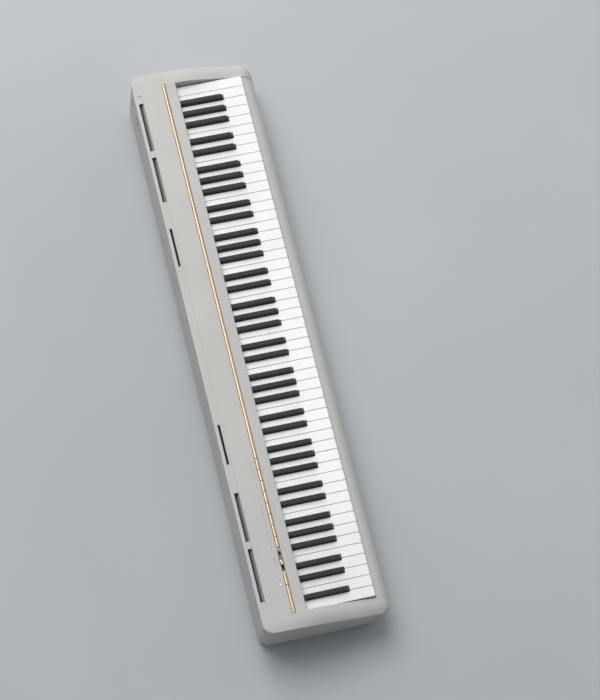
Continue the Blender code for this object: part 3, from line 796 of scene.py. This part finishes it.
def lower_ring(level):
    """One closed ring of the lower case. Level 0 is the top of the base fillet and level 1 is the joint."""
    half = BASE_HALF + (HALF_W - LOWER_INSET - BASE_HALF) * level
    rear = REAR_Y - LOWER_INSET * level ** 8

    def height(y):
        return FILLET_TOP + (parting(y) - SEAM - FILLET_TOP) * level

    front = FRONT_Y
    for _ in range(6):
        front = nose_y(height(front))
    front += LOWER_INSET * level ** 8
    rails = [RAIL_HALF, 0.3, 0.0, -0.3, -RAIL_HALF]
    plan = []
    plan += [(x, rear) for x in (-0.40, -0.1, 0.2, jack_low.x - 0.3 * MM, jack_high.x + 0.3 * MM)]
    sides = [0.105 - 0.0175 * i for i in range(13)]
    plan += arc((half - REAR_CORNER, rear - REAR_CORNER), REAR_CORNER, 90, 0, 10)
    plan += [(half, y) for y in sides]
    plan += arc((half - FRONT_CORNER, front + FRONT_CORNER), FRONT_CORNER, 0, -90, 10)
    plan += [(x, front) for x in rails]
    plan += arc((-half + FRONT_CORNER, front + FRONT_CORNER), FRONT_CORNER, 270, 180, 10)
    plan += [(-half, y) for y in reversed(sides)]
    plan += arc((-half + REAR_CORNER, rear - REAR_CORNER), REAR_CORNER, 180, 90, 10)
    plan.append(plan[0])
    return [Vector((bowed(x, y), y, height(y))) for x, y in plan]


def fillet_ring(turn):
    """One ring of the fillet to the base. Turn 0 is its top and 1 is the base plane."""
    base = lower_ring(0.0)
    a = turn * math.pi / 2
    side = 0.009 * (1 - math.cos(a))
    ends = 0.006 * (1 - math.cos(a))
    z = FILLET_TOP - (FILLET_TOP - BASE_Z) * math.sin(a)
    ring = []
    for p in base:
        ring.append(Vector((p.x * (1 - side / BASE_HALF), p.y * (1 - ends / REAR_Y), z)))
    return ring


def make_lower_case():
    rise = parting(REAR_Y) - SEAM - FILLET_TOP
    levels = [0.0, (RAIL_FOOT - FILLET_TOP) / rise, 0.2, 0.4]
    levels += [(jack_low.z - 0.3 * MM - FILLET_TOP) / rise, (jack_high.z + 0.3 * MM - FILLET_TOP) / rise]
    levels += [0.85, 0.95, 1.0]
    rings = [fillet_ring(t) for t in (1.0, 0.75, 0.5, 0.25)] + [lower_ring(v) for v in levels]
    first = 4
    sample = rings[first]
    bm = bmesh.new()

    def keep(i, j):
        a = sample[j]
        b = sample[j + 1]
        at_front = a.y < 0 and max(abs(a.x), abs(b.x)) <= RAIL_HALF + 0.01 * MM
        if at_front and i >= first + 1:
            return False
        middle = (a.x + b.x) / 2
        at_jack = a.y > 0 and jack_low.x < middle < jack_high.x and abs(a.y - b.y) < MM
        return not (at_jack and i == first + 4)

    rows = add_grid(bm, rings, keep)
    bm.faces.new(rows[0][:-1])
    weld(bm, 0.000004)
    face_out(bm, False)
    case = link("lower_case_shell", bm, CASE_LOWER, "case")
    add_solidify(case, SKIN)
    holes = bmesh.new()
    speaker_low, speaker_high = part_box("speaker_right")
    centre_x = middle_x("speaker_right")
    centre_y = (speaker_low.y + speaker_high.y) / 2
    for side in (-1, 1):
        for i in range(9):
            offset = (i - 4) * 7 * MM
            reach = 0.070 * math.sqrt(1 - (offset / 0.040) ** 2)
            x = side * centre_x
            y = centre_y + offset
            block(holes, span(x, reach), span(y, 1.6 * MM), (BASE_Z - 4 * MM, BASE_Z + 6 * MM),
                  1.5 * MM, 0.1 * MM, 4)
    cutter = link("grille_cutter", holes, CASE_LOWER, "case")
    pieces.remove(cutter)
    cut = case.modifiers.new("grille", "BOOLEAN")
    cut.operation = "DIFFERENCE"
    cut.object = cutter
    bake(case)
    bpy.data.objects.remove(cutter, do_unlink=True)
    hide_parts("lower_case")


def bake(obj):
    """Apply a piece's modifiers to its mesh."""
    graph = bpy.context.evaluated_depsgraph_get()
    mesh = bpy.data.meshes.new_from_object(obj.evaluated_get(graph), preserve_all_data_layers=True,
                                           depsgraph=graph)
    obj.modifiers.clear()
    obj.data = mesh
    mesh.set_sharp_from_angle(angle=math.radians(SHARP_ANGLE))


def make_liners():
    """A thin wall beside each end key, low enough to stay under the key's top."""
    for side, name in ((-1, "left"), (1, "right")):
        xs = sorted((side * 611.15 * MM, side * 612.9 * MM))
        block_piece(f"cheek_liner_{name}", CASE, "case", xs, (KEY_FRONT - 0.5 * MM, PANEL_FRONT + 20 * MM),
                    LINER_HEIGHTS, 0.5 * MM, 0.3 * MM, 2, 2)


def make_rail():
    """The strip in front of the keys: a channel with the case's nose on its outside."""
    crest = 1.2 * MM
    back = rail_high.y
    top = rail_high.z
    outer = arc((back - crest, top - crest), crest, 0, 90, 4)
    outer += bezier(outer[-1], (-0.124, 0.1168), (NOSE_Y, NOSE_HIGH), (NOSE_Y, NOSE_LOW), 22)
    outer += bezier(outer[-1], (NOSE_Y, NOSE_TURN), (-0.1325, 0.035), (rail_low.y + 0.0112, RAIL_FOOT), 8)
    inner = []
    for i in range(len(outer) - 1, 5, -1):
        a = Vector(outer[i])
        b = Vector(outer[i - 1])
        along = (b - a).normalized()
        inner.append((a.x + along.y * 2.5 * MM, a.y - along.x * 2.5 * MM))
    inner += [(back - 2.4 * MM, top - 3.4 * MM), (back - 2.4 * MM, 0.090), (back, 0.090)]
    section = outer + inner
    bm = bmesh.new()
    rings = []
    end = WELL - 0.5 * MM
    for x, shrink in ((-end, 0.25), (0.25 * MM - end, 0.0), (end - 0.25 * MM, 0.0), (end, 0.25)):
        points = inset_outline(section, shrink * MM) if shrink else section
        rings.append([bm.verts.new((x, y, z)) for y, z in points])
    bridge(bm, rings)
    bmesh.ops.recalc_face_normals(bm, faces=bm.faces)
    rail = link("front_rail_channel", bm, CASE, "case")
    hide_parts("front_rail")


# ---------------------------------------------------------------- keys
NOTES = ("c", "d", "e", "f", "g", "a", "b")
SHARPS = {"c": "c_sharp", "d": "d_sharp", "f": "f_sharp", "g": "g_sharp", "a": "a_sharp"}
OCTAVE = 7
MIDDLE_C = 23


def sharp_offsets():
    """Centre of each sharp from its octave's left edge."""
    lower = (3 * WHITE_PITCH - 2 * BLACK_SLOT) / 3
    upper = (4 * WHITE_PITCH - 3 * BLACK_SLOT) / 4
    start = 3 * WHITE_PITCH
    return {"c": lower + BLACK_SLOT / 2, "d": 2 * lower + 1.5 * BLACK_SLOT,
            "f": start + upper + BLACK_SLOT / 2, "g": start + 2 * upper + 1.5 * BLACK_SLOT,
            "a": start + 3 * upper + 2.5 * BLACK_SLOT}


SHARP_OFFSETS = sharp_offsets()


def note_of(index):
    return NOTES[(index - 2) % OCTAVE]


def sharp_x(index):
    """Middle of the sharp after a white key, or None."""
    note = note_of(index)
    if note not in SHARPS or index < 0 or index >= WHITE_COUNT - 1:
        return None
    octave_left = KEYS_LEFT + (index - (index - 2) % OCTAVE) * WHITE_PITCH
    return octave_left + SHARP_OFFSETS[note]


def white_outline(index):
    """Top view of a white key: rounded front corners and a notch beside each sharp."""
    left = KEYS_LEFT + index * WHITE_PITCH + KEY_GAP / 2
    right = left + WHITE_PITCH - KEY_GAP
    before = sharp_x(index - 1)
    after = sharp_x(index)
    tail_left = left if before is None else before + BLACK_SLOT / 2
    tail_right = right if after is None else after - BLACK_SLOT / 2
    notch = KEY_FRONT + HEAD_LENGTH
    rear = white_high.y
    r = 1.6 * MM
    outline = arc((left + r, KEY_FRONT + r), r, 180, 270, 4) + arc((right - r, KEY_FRONT + r), r, 270, 360, 4)
    if after is not None:
        outline += arc((right - r / 2, notch - r / 2), r / 2, 0, 90, 2)
        outline.append((tail_right, notch))
    outline += [(tail_right, rear), (tail_left, rear)]
    if before is not None:
        outline.append((tail_left, notch))
        outline += arc((left + r / 2, notch - r / 2), r / 2, 90, 180, 2)
    return outline


def make_white_key(index):
    owner = key_owner(index, False)
    bm = bmesh.new()
    rounded_prism(bm, white_outline(index), white_low.z, KEY_TOP, 0.7 * MM, 3)
    key = link(f"white_key_{index + 1:02d}", bm, WHITE, owner, 50)
    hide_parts(owner)


def black_ring(x, y, top, half_base, half_top, round_edge):
    """Section of a sharp: upright below the white keys' tops, drawn in above, with round top edges."""
    waist = min(KEY_TOP + 2 * MM, top - round_edge - 0.2 * MM)
    side = [(-half_base, black_low.z), (-half_base, waist)]
    side += arc((-half_top + round_edge, top - round_edge), round_edge, 180, 90, 4)
    return [Vector((x + u, y, z)) for u, z in side] + [Vector((x - u, y, z)) for u, z in reversed(side)]


def make_black_key(index):
    owner = key_owner(index, True)
    x = sharp_x(index)
    sample_low, sample_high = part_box("key_c_sharp4")
    half = (sample_high.x - sample_low.x) / 2
    front = black_low.y
    top = black_high.z
    tail = top - 5.5 * MM
    slope_foot = (front + 0.4 * MM, KEY_TOP + 1.6 * MM)
    slope_head = (front + 6.3 * MM, top - 0.55 * MM)
    level = (front + 7.9 * MM, top)
    bend = (front + 6.7 * MM, top)
    stations = [(front, KEY_TOP + 0.8 * MM), slope_foot]
    stations += [(slope_foot[0] + (slope_head[0] - slope_foot[0]) * t,
                  slope_foot[1] + (slope_head[1] - slope_foot[1]) * t) for t in (0.08, 0.5, 0.95)]
    stations.append(slope_head)
    stations += bezier(slope_head, (front + 6.5 * MM, top - 0.2 * MM), bend, level, 4)
    stations += [(level[0] + 0.6 * MM, top), (0.0, top), (PANEL_FRONT + 6 * MM, top),
                 (PANEL_FRONT + 14 * MM, tail), (0.0895, tail)]
    rings = []
    for y, z in stations:
        rise = (z - KEY_TOP) / (top - KEY_TOP)
        edge = min(0.6 * MM, (z - KEY_TOP) * 0.45)
        rings.append(black_ring(x, y, z, half, half - (0.15 + 0.65 * rise) * MM, edge))
    bm = bmesh.new()
    add_tube(bm, rings)
    key = link(f"black_key_{index + 1:02d}", bm, BLACK, owner)
    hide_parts(owner)


def key_owner(index, sharp):
    """CAD node and body of a key: its own in the middle octave, a group's elsewhere."""
    colour = "black" if sharp else "white"
    if index < MIDDLE_C:
        return f"bass_{colour}_keys"
    if index >= MIDDLE_C + OCTAVE:
        return f"treble_{colour}_keys"
    note = note_of(index)
    return f"key_{SHARPS[note] if sharp else note}4"


# ---------------------------------------------------------------- gold strip and controls


def domed_bar(bm, x0, x1, low, high, half, ridge=0.0):
    """A bar with a domed top and eased ends, lying along X over the strip's line.

    With a ridge, its ends stand up by that much and its middle is dished.
    """
    ease = 0.45 * MM
    length = x1 - x0
    stations = [(0.0, -1.0), (0.3 * ease, -0.35), (ease, 0.0)]
    if ridge:
        stations += [(ease + (length - 2 * ease) * i / 16, 0.0) for i in range(1, 16)]
    stations += [(length - ease, 0.0), (length - 0.3 * ease, -0.35), (length, -1.0)]
    steps = 10
    shoulder = low + (high - low) * 0.42
    lines = []
    for along, dip in stations:
        crown = high + dip * 0.35 * MM
        if ridge:
            crown -= ridge * (0.5 + 0.5 * math.cos(2 * math.pi * (along / length - 0.5)))
        h = half + min(0.0, dip) * 0.12 * MM
        line = [Vector((x0 + along, STRIP_Y - h, low))]
        for i in range(steps + 1):
            a = math.pi * i / steps
            line.append(Vector((x0 + along, STRIP_Y - h * math.cos(a),
                                shoulder + (crown - shoulder) * math.sin(a) ** 0.9)))
        line.append(Vector((x0 + along, STRIP_Y + h, low)))
        lines.append(line)
    add_tube(bm, lines)


def make_gold_parts():
    low = TOP_Z - 1.7 * MM
    crown = TOP_Z + 1.1 * MM
    for name, (a, b) in (("long_trim", (long_low, long_high)), ("short_trim", (short_low, short_high))):
        bm = bmesh.new()
        domed_bar(bm, a.x, b.x, low, crown, STRIP_HALF)
        bar = link(f"{name}_bar", bm, GOLD, "case", 50)
        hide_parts(name)
    for name in [f"panel_button_{i + 1}" for i in range(8)] + ["power_button"]:
        a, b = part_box(name)
        bm = bmesh.new()
        domed_bar(bm, a.x, b.x, low, crown, STRIP_HALF - 0.05 * MM)
        block(bm, span(middle_x(name), 4 * MM), span(STRIP_Y, 2.5 * MM), (a.z, low + 0.2 * MM),
              MM, 0.2 * MM, 4)
        cap = link(f"{name}_cap", bm, GOLD, name, 50)
        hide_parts(name)
    a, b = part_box("volume_knob")
    middle = middle_x("volume_knob")
    bm = bmesh.new()
    domed_bar(bm, a.x, b.x, TOP_Z - 1.2 * MM, b.z, STRIP_HALF - 0.3 * MM, 1.7 * MM)
    block(bm, span(middle, 3 * MM), span(STRIP_Y, 1.5 * MM), (a.z, TOP_Z - MM), 0.5 * MM, 0.2 * MM, 4)
    knob = link("volume_knob_cap", bm, GOLD, "volume_knob", 50)
    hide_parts("volume_knob")
    make_slider_track(middle)


def make_slider_track(middle):
    """The sunken floor under the volume knob, with a dark slit for its stem."""
    bm = bmesh.new()
    half = STRIP_HALF + 0.25 * MM
    floor = TOP_Z - 2.6 * MM
    length = span(middle, 22.8 * MM)
    for side in (-1, 1):
        ys = sorted((STRIP_Y + side * half, STRIP_Y + side * 1.9 * MM))
        block(bm, length, ys, (floor - 1.5 * MM, floor), 0.4 * MM, 0.3 * MM, 2, 2)
    for side in (-1, 1):
        xs = span(middle + side * 20.9 * MM, 1.9 * MM)
        block(bm, xs, span(STRIP_Y, half), (floor - 1.4 * MM, floor + 0.3 * MM), 0.4 * MM, 0.3 * MM, 2, 2)
    link("slider_track", bm, SLOT_FLOOR, "case")
    board_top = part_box("panel_board")[1].z
    block_piece("slider_dust_seal", DARK_PLASTIC, "rubber", length, span(STRIP_Y, 3.5 * MM),
                (board_top + 0.1 * MM, board_top + 0.6 * MM), MM, 0.1 * MM, 4)


# ---------------------------------------------------------------- print and lamps


def flat_mark(name, outline, mat, z, height=PRINT_HEIGHTS[1]):
    bm = bmesh.new()
    rounded_prism(bm, outline, z + PRINT_HEIGHTS[0], z + height, 0.02 * MM, 1)
    return link(name, bm, mat, "case")


def disc(x, y, radius):
    sides = 20
    return arc((x, y), radius, 0, 360 - 360 / sides, sides - 1)


def make_marks():
    """Generic dashes and symbols beside the controls, and the small lamps."""
    z = TOP_Z + SEAM
    behind = STRIP_Y + 13.7 * MM
    ahead = STRIP_Y - 12.7 * MM
    lengths = (14.0, 8.0, 9.5, 7.0, 12.0, 11.0, 10.0, 8.5)
    with_lamp = {1, 5, 6, 7, 8}
    with_note = {3, 5, 8}
    for number, length in enumerate(lengths, 1):
        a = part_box(f"panel_button_{number}")[0]
        left = a.x + (4.5 * MM if number in with_lamp else 8 * MM)
        mark = rounded_rectangle(left, left + length * MM, *span(behind, 0.55 * MM), 0.5 * MM, 3)
        flat_mark(f"button_label_{number}", mark, INK_FAINT, z)
        if number in with_lamp:
            flat_mark(f"button_lamp_{number}", disc(a.x + 0.9 * MM, behind, 1.0 * MM), LAMP_OFF, z, 0.25 * MM)
        if number in with_note:
            note = rounded_rectangle(a.x + 6 * MM, a.x + 17 * MM, *span(ahead, 0.4 * MM), 0.35 * MM, 3)
            flat_mark(f"button_note_{number}", note, INK_FAINT, z - slope_at(a.x, ahead))
    make_power_symbol(middle_x("power_button") + 1.0 * MM, behind, z)
    lamp_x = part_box("power_button")[0].x + 2.5 * MM
    flat_mark("power_lamp", disc(lamp_x, behind, 1.1 * MM), LAMP_ON, z, 0.25 * MM)
    middle = middle_x("volume_knob")
    make_volume_symbol(middle, behind, z)
    for name, offset, radius in (("low", -22.0, 1.1), ("high", 20.5, 1.9)):
        y = ahead + 0.3 * MM
        x = middle + offset * MM
        flat_mark(f"volume_{name}", disc(x, y, radius * MM), INK_FAINT, z - slope_at(x, y))


def make_power_symbol(x, y, z):
    """A ring with a gap, and a bar in the gap."""
    bm = bmesh.new()
    heights = [z + height for height in PRINT_HEIGHTS]
    ring = arc((x, y), 2.3 * MM, 125, 415, 24) + arc((x, y), 1.85 * MM, 415, 125, 24)
    rounded_prism(bm, ring, *heights, 0.02 * MM, 1)
    block(bm, span(x, 0.25 * MM), (y + 0.7 * MM, y + 3.0 * MM), heights, 0.2 * MM, 0.02 * MM)
    link("power_symbol", bm, INK, "case")


def make_volume_symbol(x, y, z):
    """A long wedge that widens towards the loud end."""
    wedge = [(x - 11 * MM, y - 0.3 * MM), (x + 11 * MM, y - 0.9 * MM), (x + 11 * MM, y + 0.9 * MM),
             (x - 11 * MM, y + 0.3 * MM)]
    flat_mark("volume_wedge", wedge, INK_FAINT, z)


# ---------------------------------------------------------------- rear and underside details


def make_slot_cloth():
    """Grey cloth, with painted shade that darkens it down the slot, that slopes down behind each speaker slot
    in a dark frame, and the rest slots' pockets.
    """
    low = TOP_Z - 24 * MM
    high = TOP_Z - 3.4 * MM
    wall = 1.4 * MM
    columns = 40
    rows = 8
    for number, (a, b) in enumerate(both_sides(WIDE_SLOTS), 1):
        bm = bmesh.new()
        lines = []
        for i in range(columns + 1):
            x = a - 2 * MM + (b - a + 4 * MM) * i / columns
            line = []
            for k in range(rows + 1):
                t = k / rows
                y = GROOVE[0] - 0.2 * MM + (GROOVE[1] - GROOVE[0] + 0.4 * MM) * t
                line.append(Vector((x, y, high + (low - high) * t)))
            lines.append(line)
        add_grid(bm, lines)
        face_out(bm, True)
        # painted shade: the cloth's colour gets darker towards the slot's bottom
        cloth = link(f"slot_cloth_{number}", bm, PALE_CLOTH_PAINTED_SHADE, "case", 60)
        add_solidify(cloth, 0.4 * MM)
        walls = bmesh.new()
        rear = GROOVE[1] + 0.3 * MM
        block(walls, (a - 2 * MM, b + 2 * MM), (rear, rear + wall), (low - MM, high))
        for y in (GROOVE[0] - 1.6 * MM, rear):
            block(walls, (a, b), (y, y + wall), (TOP_Z - 5 * MM, TOP_Z - 2.15 * MM))
        for x in (a - 3.6 * MM, b + 2.2 * MM):
            block(walls, (x, x + wall), (GROOVE[0] - 0.2 * MM, rear + wall), (low - MM, high))
        link(f"slot_frame_{number}", walls, DARK_PLASTIC, "case")
    floor = TOP_Z - 16 * MM
    front = REST_SLOT_Y - 1.5 * MM
    back = GROOVE[1] + 1.5 * MM
    for number, (a, b) in enumerate(both_sides([REST_SLOT]), 1):
        bm = bmesh.new()
        block(bm, (a - 1.5 * MM, b + 1.5 * MM), (front, back), (floor - 1.5 * MM, floor),
              0.8 * MM, 0.3 * MM, 3, 2)
        for ys in ((front, REST_SLOT_Y - 0.1 * MM), (GROOVE[1] + 0.1 * MM, back)):
            block(bm, (a, b), ys, (floor - 0.1 * MM, high))
        link(f"rest_pocket_{number}", bm, DARK_PLASTIC, "case")


def make_sockets():
    """Collars and contacts of the rear sockets."""
    centre = middle_x("jack_plate")
    z = (jack_low.z + jack_high.z) / 2
    face = jack_high.y
    inner = jack_low.y + 6.2 * MM
    for number in range(3):
        x = centre - 33 * MM + number * 16 * MM
        socket_collar(f"audio_collar_{number + 1}", (x, face, z), 3.4 * MM, 5.0 * MM)
    x = centre + 31 * MM
    socket_collar("power_collar", (x, face, z), 3.2 * MM, 4.6 * MM)
    bm = bmesh.new()
    pin = [(0.5 * MM, 0.0), (0.9 * MM, 0.2 * MM), (0.9 * MM, 7 * MM), (0.5 * MM, 7.4 * MM)]
    turned(bm, pin, (x, inner, z), 16, FACING_REAR)
    link("power_pin", bm, BRASS, "case")
    x = centre + 13 * MM
    block_piece("usb_tongue", DARK_PLASTIC, "socket", span(x, 2.6 * MM), (inner, face - 1.5 * MM),
                span(z, 1.4 * MM), 0.3 * MM)
    for number in range(4):
        offset = (number - 1.5) * 1.2 * MM
        block_piece(f"usb_contact_{number + 1}", BRASS, "steel", span(x + offset, 0.3 * MM),
                    (jack_low.y + 8 * MM, face - 2.2 * MM), (z + 1.35 * MM, z + 1.5 * MM),
                    0.15 * MM, 0.04 * MM)


def socket_collar(name, centre, bore, outer):
    """A flange with a rounded rim on the rear face, and its sleeve inside the socket's bore."""
    depth = 11.5 * MM
    wall = 0.45 * MM
    height = 0.35 * MM
    profile = [(bore - wall, -depth), (bore, -depth), (bore, 0.05 * MM), (outer, 0.05 * MM),
               (outer, height * 0.6), (outer - 0.3 * MM, height), (bore - wall + 0.3 * MM, height),
               (bore - wall, height * 0.4)]
    bm = bmesh.new()
    ring_around(bm, profile, lambda a, r, h: (centre[0] + r * math.cos(a), centre[1] + h,
                                              centre[2] + r * math.sin(a)), 36)
    link(name, bm, DARK_PLASTIC, "case")


def ring_around(bm, profile, place, sides):
    """A closed profile of (radius, height) carried once round an axis."""
    rings = [[bm.verts.new(place(2 * math.pi * i / sides, r, h)) for i in range(sides)] for r, h in profile]
    bridge(bm, rings + [rings[0]], False)
    bmesh.ops.recalc_face_normals(bm, faces=bm.faces)


def make_feet():
    for name in [f"foot_{row}_{side}" for row in ("front", "rear") for side in ("left", "right")]:
        a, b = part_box(name)
        outer = (b.x - a.x) / 2
        profile = [(0.3 * MM, 1.6 * MM), (3.4 * MM, 1.6 * MM), (3.8 * MM, 0.5 * MM), (4.4 * MM, 0.1 * MM),
                   (8.0 * MM, 0.0), (9.8 * MM, 0.0), (outer - 1.6 * MM, 0.3 * MM),
                   (outer - 0.8 * MM, 1.2 * MM), (outer, b.z - 0.4 * MM), (outer, b.z)]
        bm = bmesh.new()
        turned(bm, profile, (middle_x(name), (a.y + b.y) / 2, 0.0), 40)
        foot = link(f"{name}_pad", bm, RUBBER, "case", 40)
        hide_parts(name)


def make_underside():
    """Plain domed screws in raised seats, a blank plate and cloth over the speaker grilles."""
    radius = 3.0 * MM
    head = [(0.3 * MM, -1.1 * MM), (radius * 0.6, -0.9 * MM), (radius * 0.92, -0.4 * MM), (radius, 0.0),
            (radius, 0.6 * MM)]
    seat = [(3.3 * MM, 0.05 * MM), (3.4 * MM, -0.25 * MM), (4.6 * MM, -0.3 * MM), (5.4 * MM, 0.05 * MM)]
    places = [(x * MM, y * MM) for x in (-600, -400, -200, 0, 200, 400, 600) for y in (-100, 108)]
    places += [(x * MM, 52 * MM) for x in (-500, -250, 250, 500)]
    for number, (x, y) in enumerate(places, 1):
        bm = bmesh.new()
        turned(bm, head, (x, y, BASE_Z - 0.05 * MM), 24)
        link(f"base_screw_{number:02d}", bm, STEEL, "case", 30)
        bm = bmesh.new()
        ring_around(bm, seat, lambda a, r, h: (x + r * math.cos(a), y + r * math.sin(a), BASE_Z + h), 32)
        link(f"screw_seat_{number:02d}", bm, CASE_LOWER, "case", 30)
    bm = bmesh.new()
    plate = rounded_rectangle(-0.060, 0.060, -0.040, 0.010, 3 * MM)
    rounded_prism(bm, plate, BASE_Z - 0.25 * MM, BASE_Z + 0.1 * MM, 0.1 * MM, 1, True)
    link("rating_plate", bm, STEEL, "case")
    outline = arc((0.0, 0.0), 1.0, 0, 357, 80)
    for name in ("left", "right"):
        a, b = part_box(f"speaker_{name}")
        centre = ((a.x + b.x) / 2, (a.y + b.y) / 2)
        bm = bmesh.new()
        points = [(centre[0] + 0.080 * u, centre[1] + 0.043 * v) for u, v in outline]
        rounded_prism(bm, points, BASE_Z + 2.3 * MM, BASE_Z + 3.0 * MM, 0.2 * MM, 1)
        link(f"speaker_cloth_{name}", bm, CLOTH, "case")


def finish_inner_parts():
    """Procedural finishes for the parts inside the case."""
    finishes = {"key_hinge_rail": STEEL, "felt_strip": FELT, "contact_rubber": GREY_RUBBER,
                "jack_plate": CASE_LOWER, "speaker_left": RUBBER, "speaker_right": RUBBER}
    finishes.update({name: CHASSIS for name in ("keybed_frame", "key_stop_rail", "hammer_rail")})
    finishes.update({f"{kind}_board": BOARD for kind in ("contact", "panel", "main", "power")})
    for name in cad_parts:
        if name.startswith("hammer_") and name != "hammer_rail":
            finishes[name] = STEEL
    for name, mat in finishes.items():
        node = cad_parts[name]
        node.data.materials.clear()
        node.data.materials.append(mat)


# ---------------------------------------------------------------- build
make_top_cover()
make_lower_case()
make_rail()
make_liners()
for key_index in range(WHITE_COUNT):
    make_white_key(key_index)
    if sharp_x(key_index) is not None:
        make_black_key(key_index)
make_gold_parts()
make_marks()
make_slot_cloth()
make_sockets()
make_feet()
make_underside()
finish_inner_parts()

for piece in pieces:
    weighted = piece.modifiers.new("even_shading", "WEIGHTED_NORMAL")
    weighted.keep_sharp = True

# ---------------------------------------------------------------- stage and light


def make_stage():
    bm = bmesh.new()
    size = 12.0
    steps = 24
    marks = [size * (i / steps - 0.5) for i in range(steps + 1)]
    add_grid(bm, [[Vector((x, y, 0.0)) for y in marks] for x in marks])
    face_out(bm, True)
    mesh = bpy.data.meshes.new("floor")
    bm.to_mesh(mesh)
    bm.free()
    mesh.materials.append(FLOOR)
    floor = bpy.data.objects.new("floor", mesh)
    bpy.context.scene.collection.objects.link(floor)


def area_light(name, location, target, size, power, colour=(1.0, 1.0, 1.0)):
    data = bpy.data.lights.new(name, "AREA")
    data.shape = "RECTANGLE"
    data.size, data.size_y = size
    data.energy = power
    data.color = colour
    light = bpy.data.objects.new(name, data)
    light.location = location
    aim = Vector(target) - Vector(location)
    light.rotation_euler = aim.to_track_quat("-Z", "Y").to_euler()
    bpy.context.scene.collection.objects.link(light)


make_stage()
area_light("key_light", (2.5, 1.2, 6.4), (0.0, 0.0, 0.1), (4.4, 4.4), 292.0, (1.0, 0.99, 0.975))
area_light("treble_rim", (2.9, 0.6, 1.2), (0.62, 0.07, 0.13), (1.2, 0.8), 17.0, (1.0, 0.99, 0.98))
area_light("front_fill", (0.3, -3.2, 1.3), (0.0, 0.0, 0.1), (2.6, 0.8), 15.0)


def side_lit_world():
    """A dim studio surround, brighter towards the treble side than towards the bass side."""
    surround = bpy.data.worlds.new("studio")
    surround.use_nodes = True
    tree = surround.node_tree
    coords = tree.nodes.new("ShaderNodeTexCoord")
    split = tree.nodes.new("ShaderNodeSeparateXYZ")
    level = tree.nodes.new("ShaderNodeMapRange")
    set_inputs(level, {"From Min": -1.0, "To Min": 0.18, "To Max": 0.56})
    tree.links.new(coords.outputs["Generated"], split.inputs["Vector"])
    tree.links.new(split.outputs["X"], level.inputs["Value"])
    backdrop = tree.nodes["Background"]
    backdrop.inputs["Color"].default_value = (0.93, 0.965, 1.0, 1.0)
    tree.links.new(level.outputs["Result"], backdrop.inputs["Strength"])
    return surround


bpy.context.scene.world = side_lit_world()
bpy.context.scene.view_settings.view_transform = "Standard"
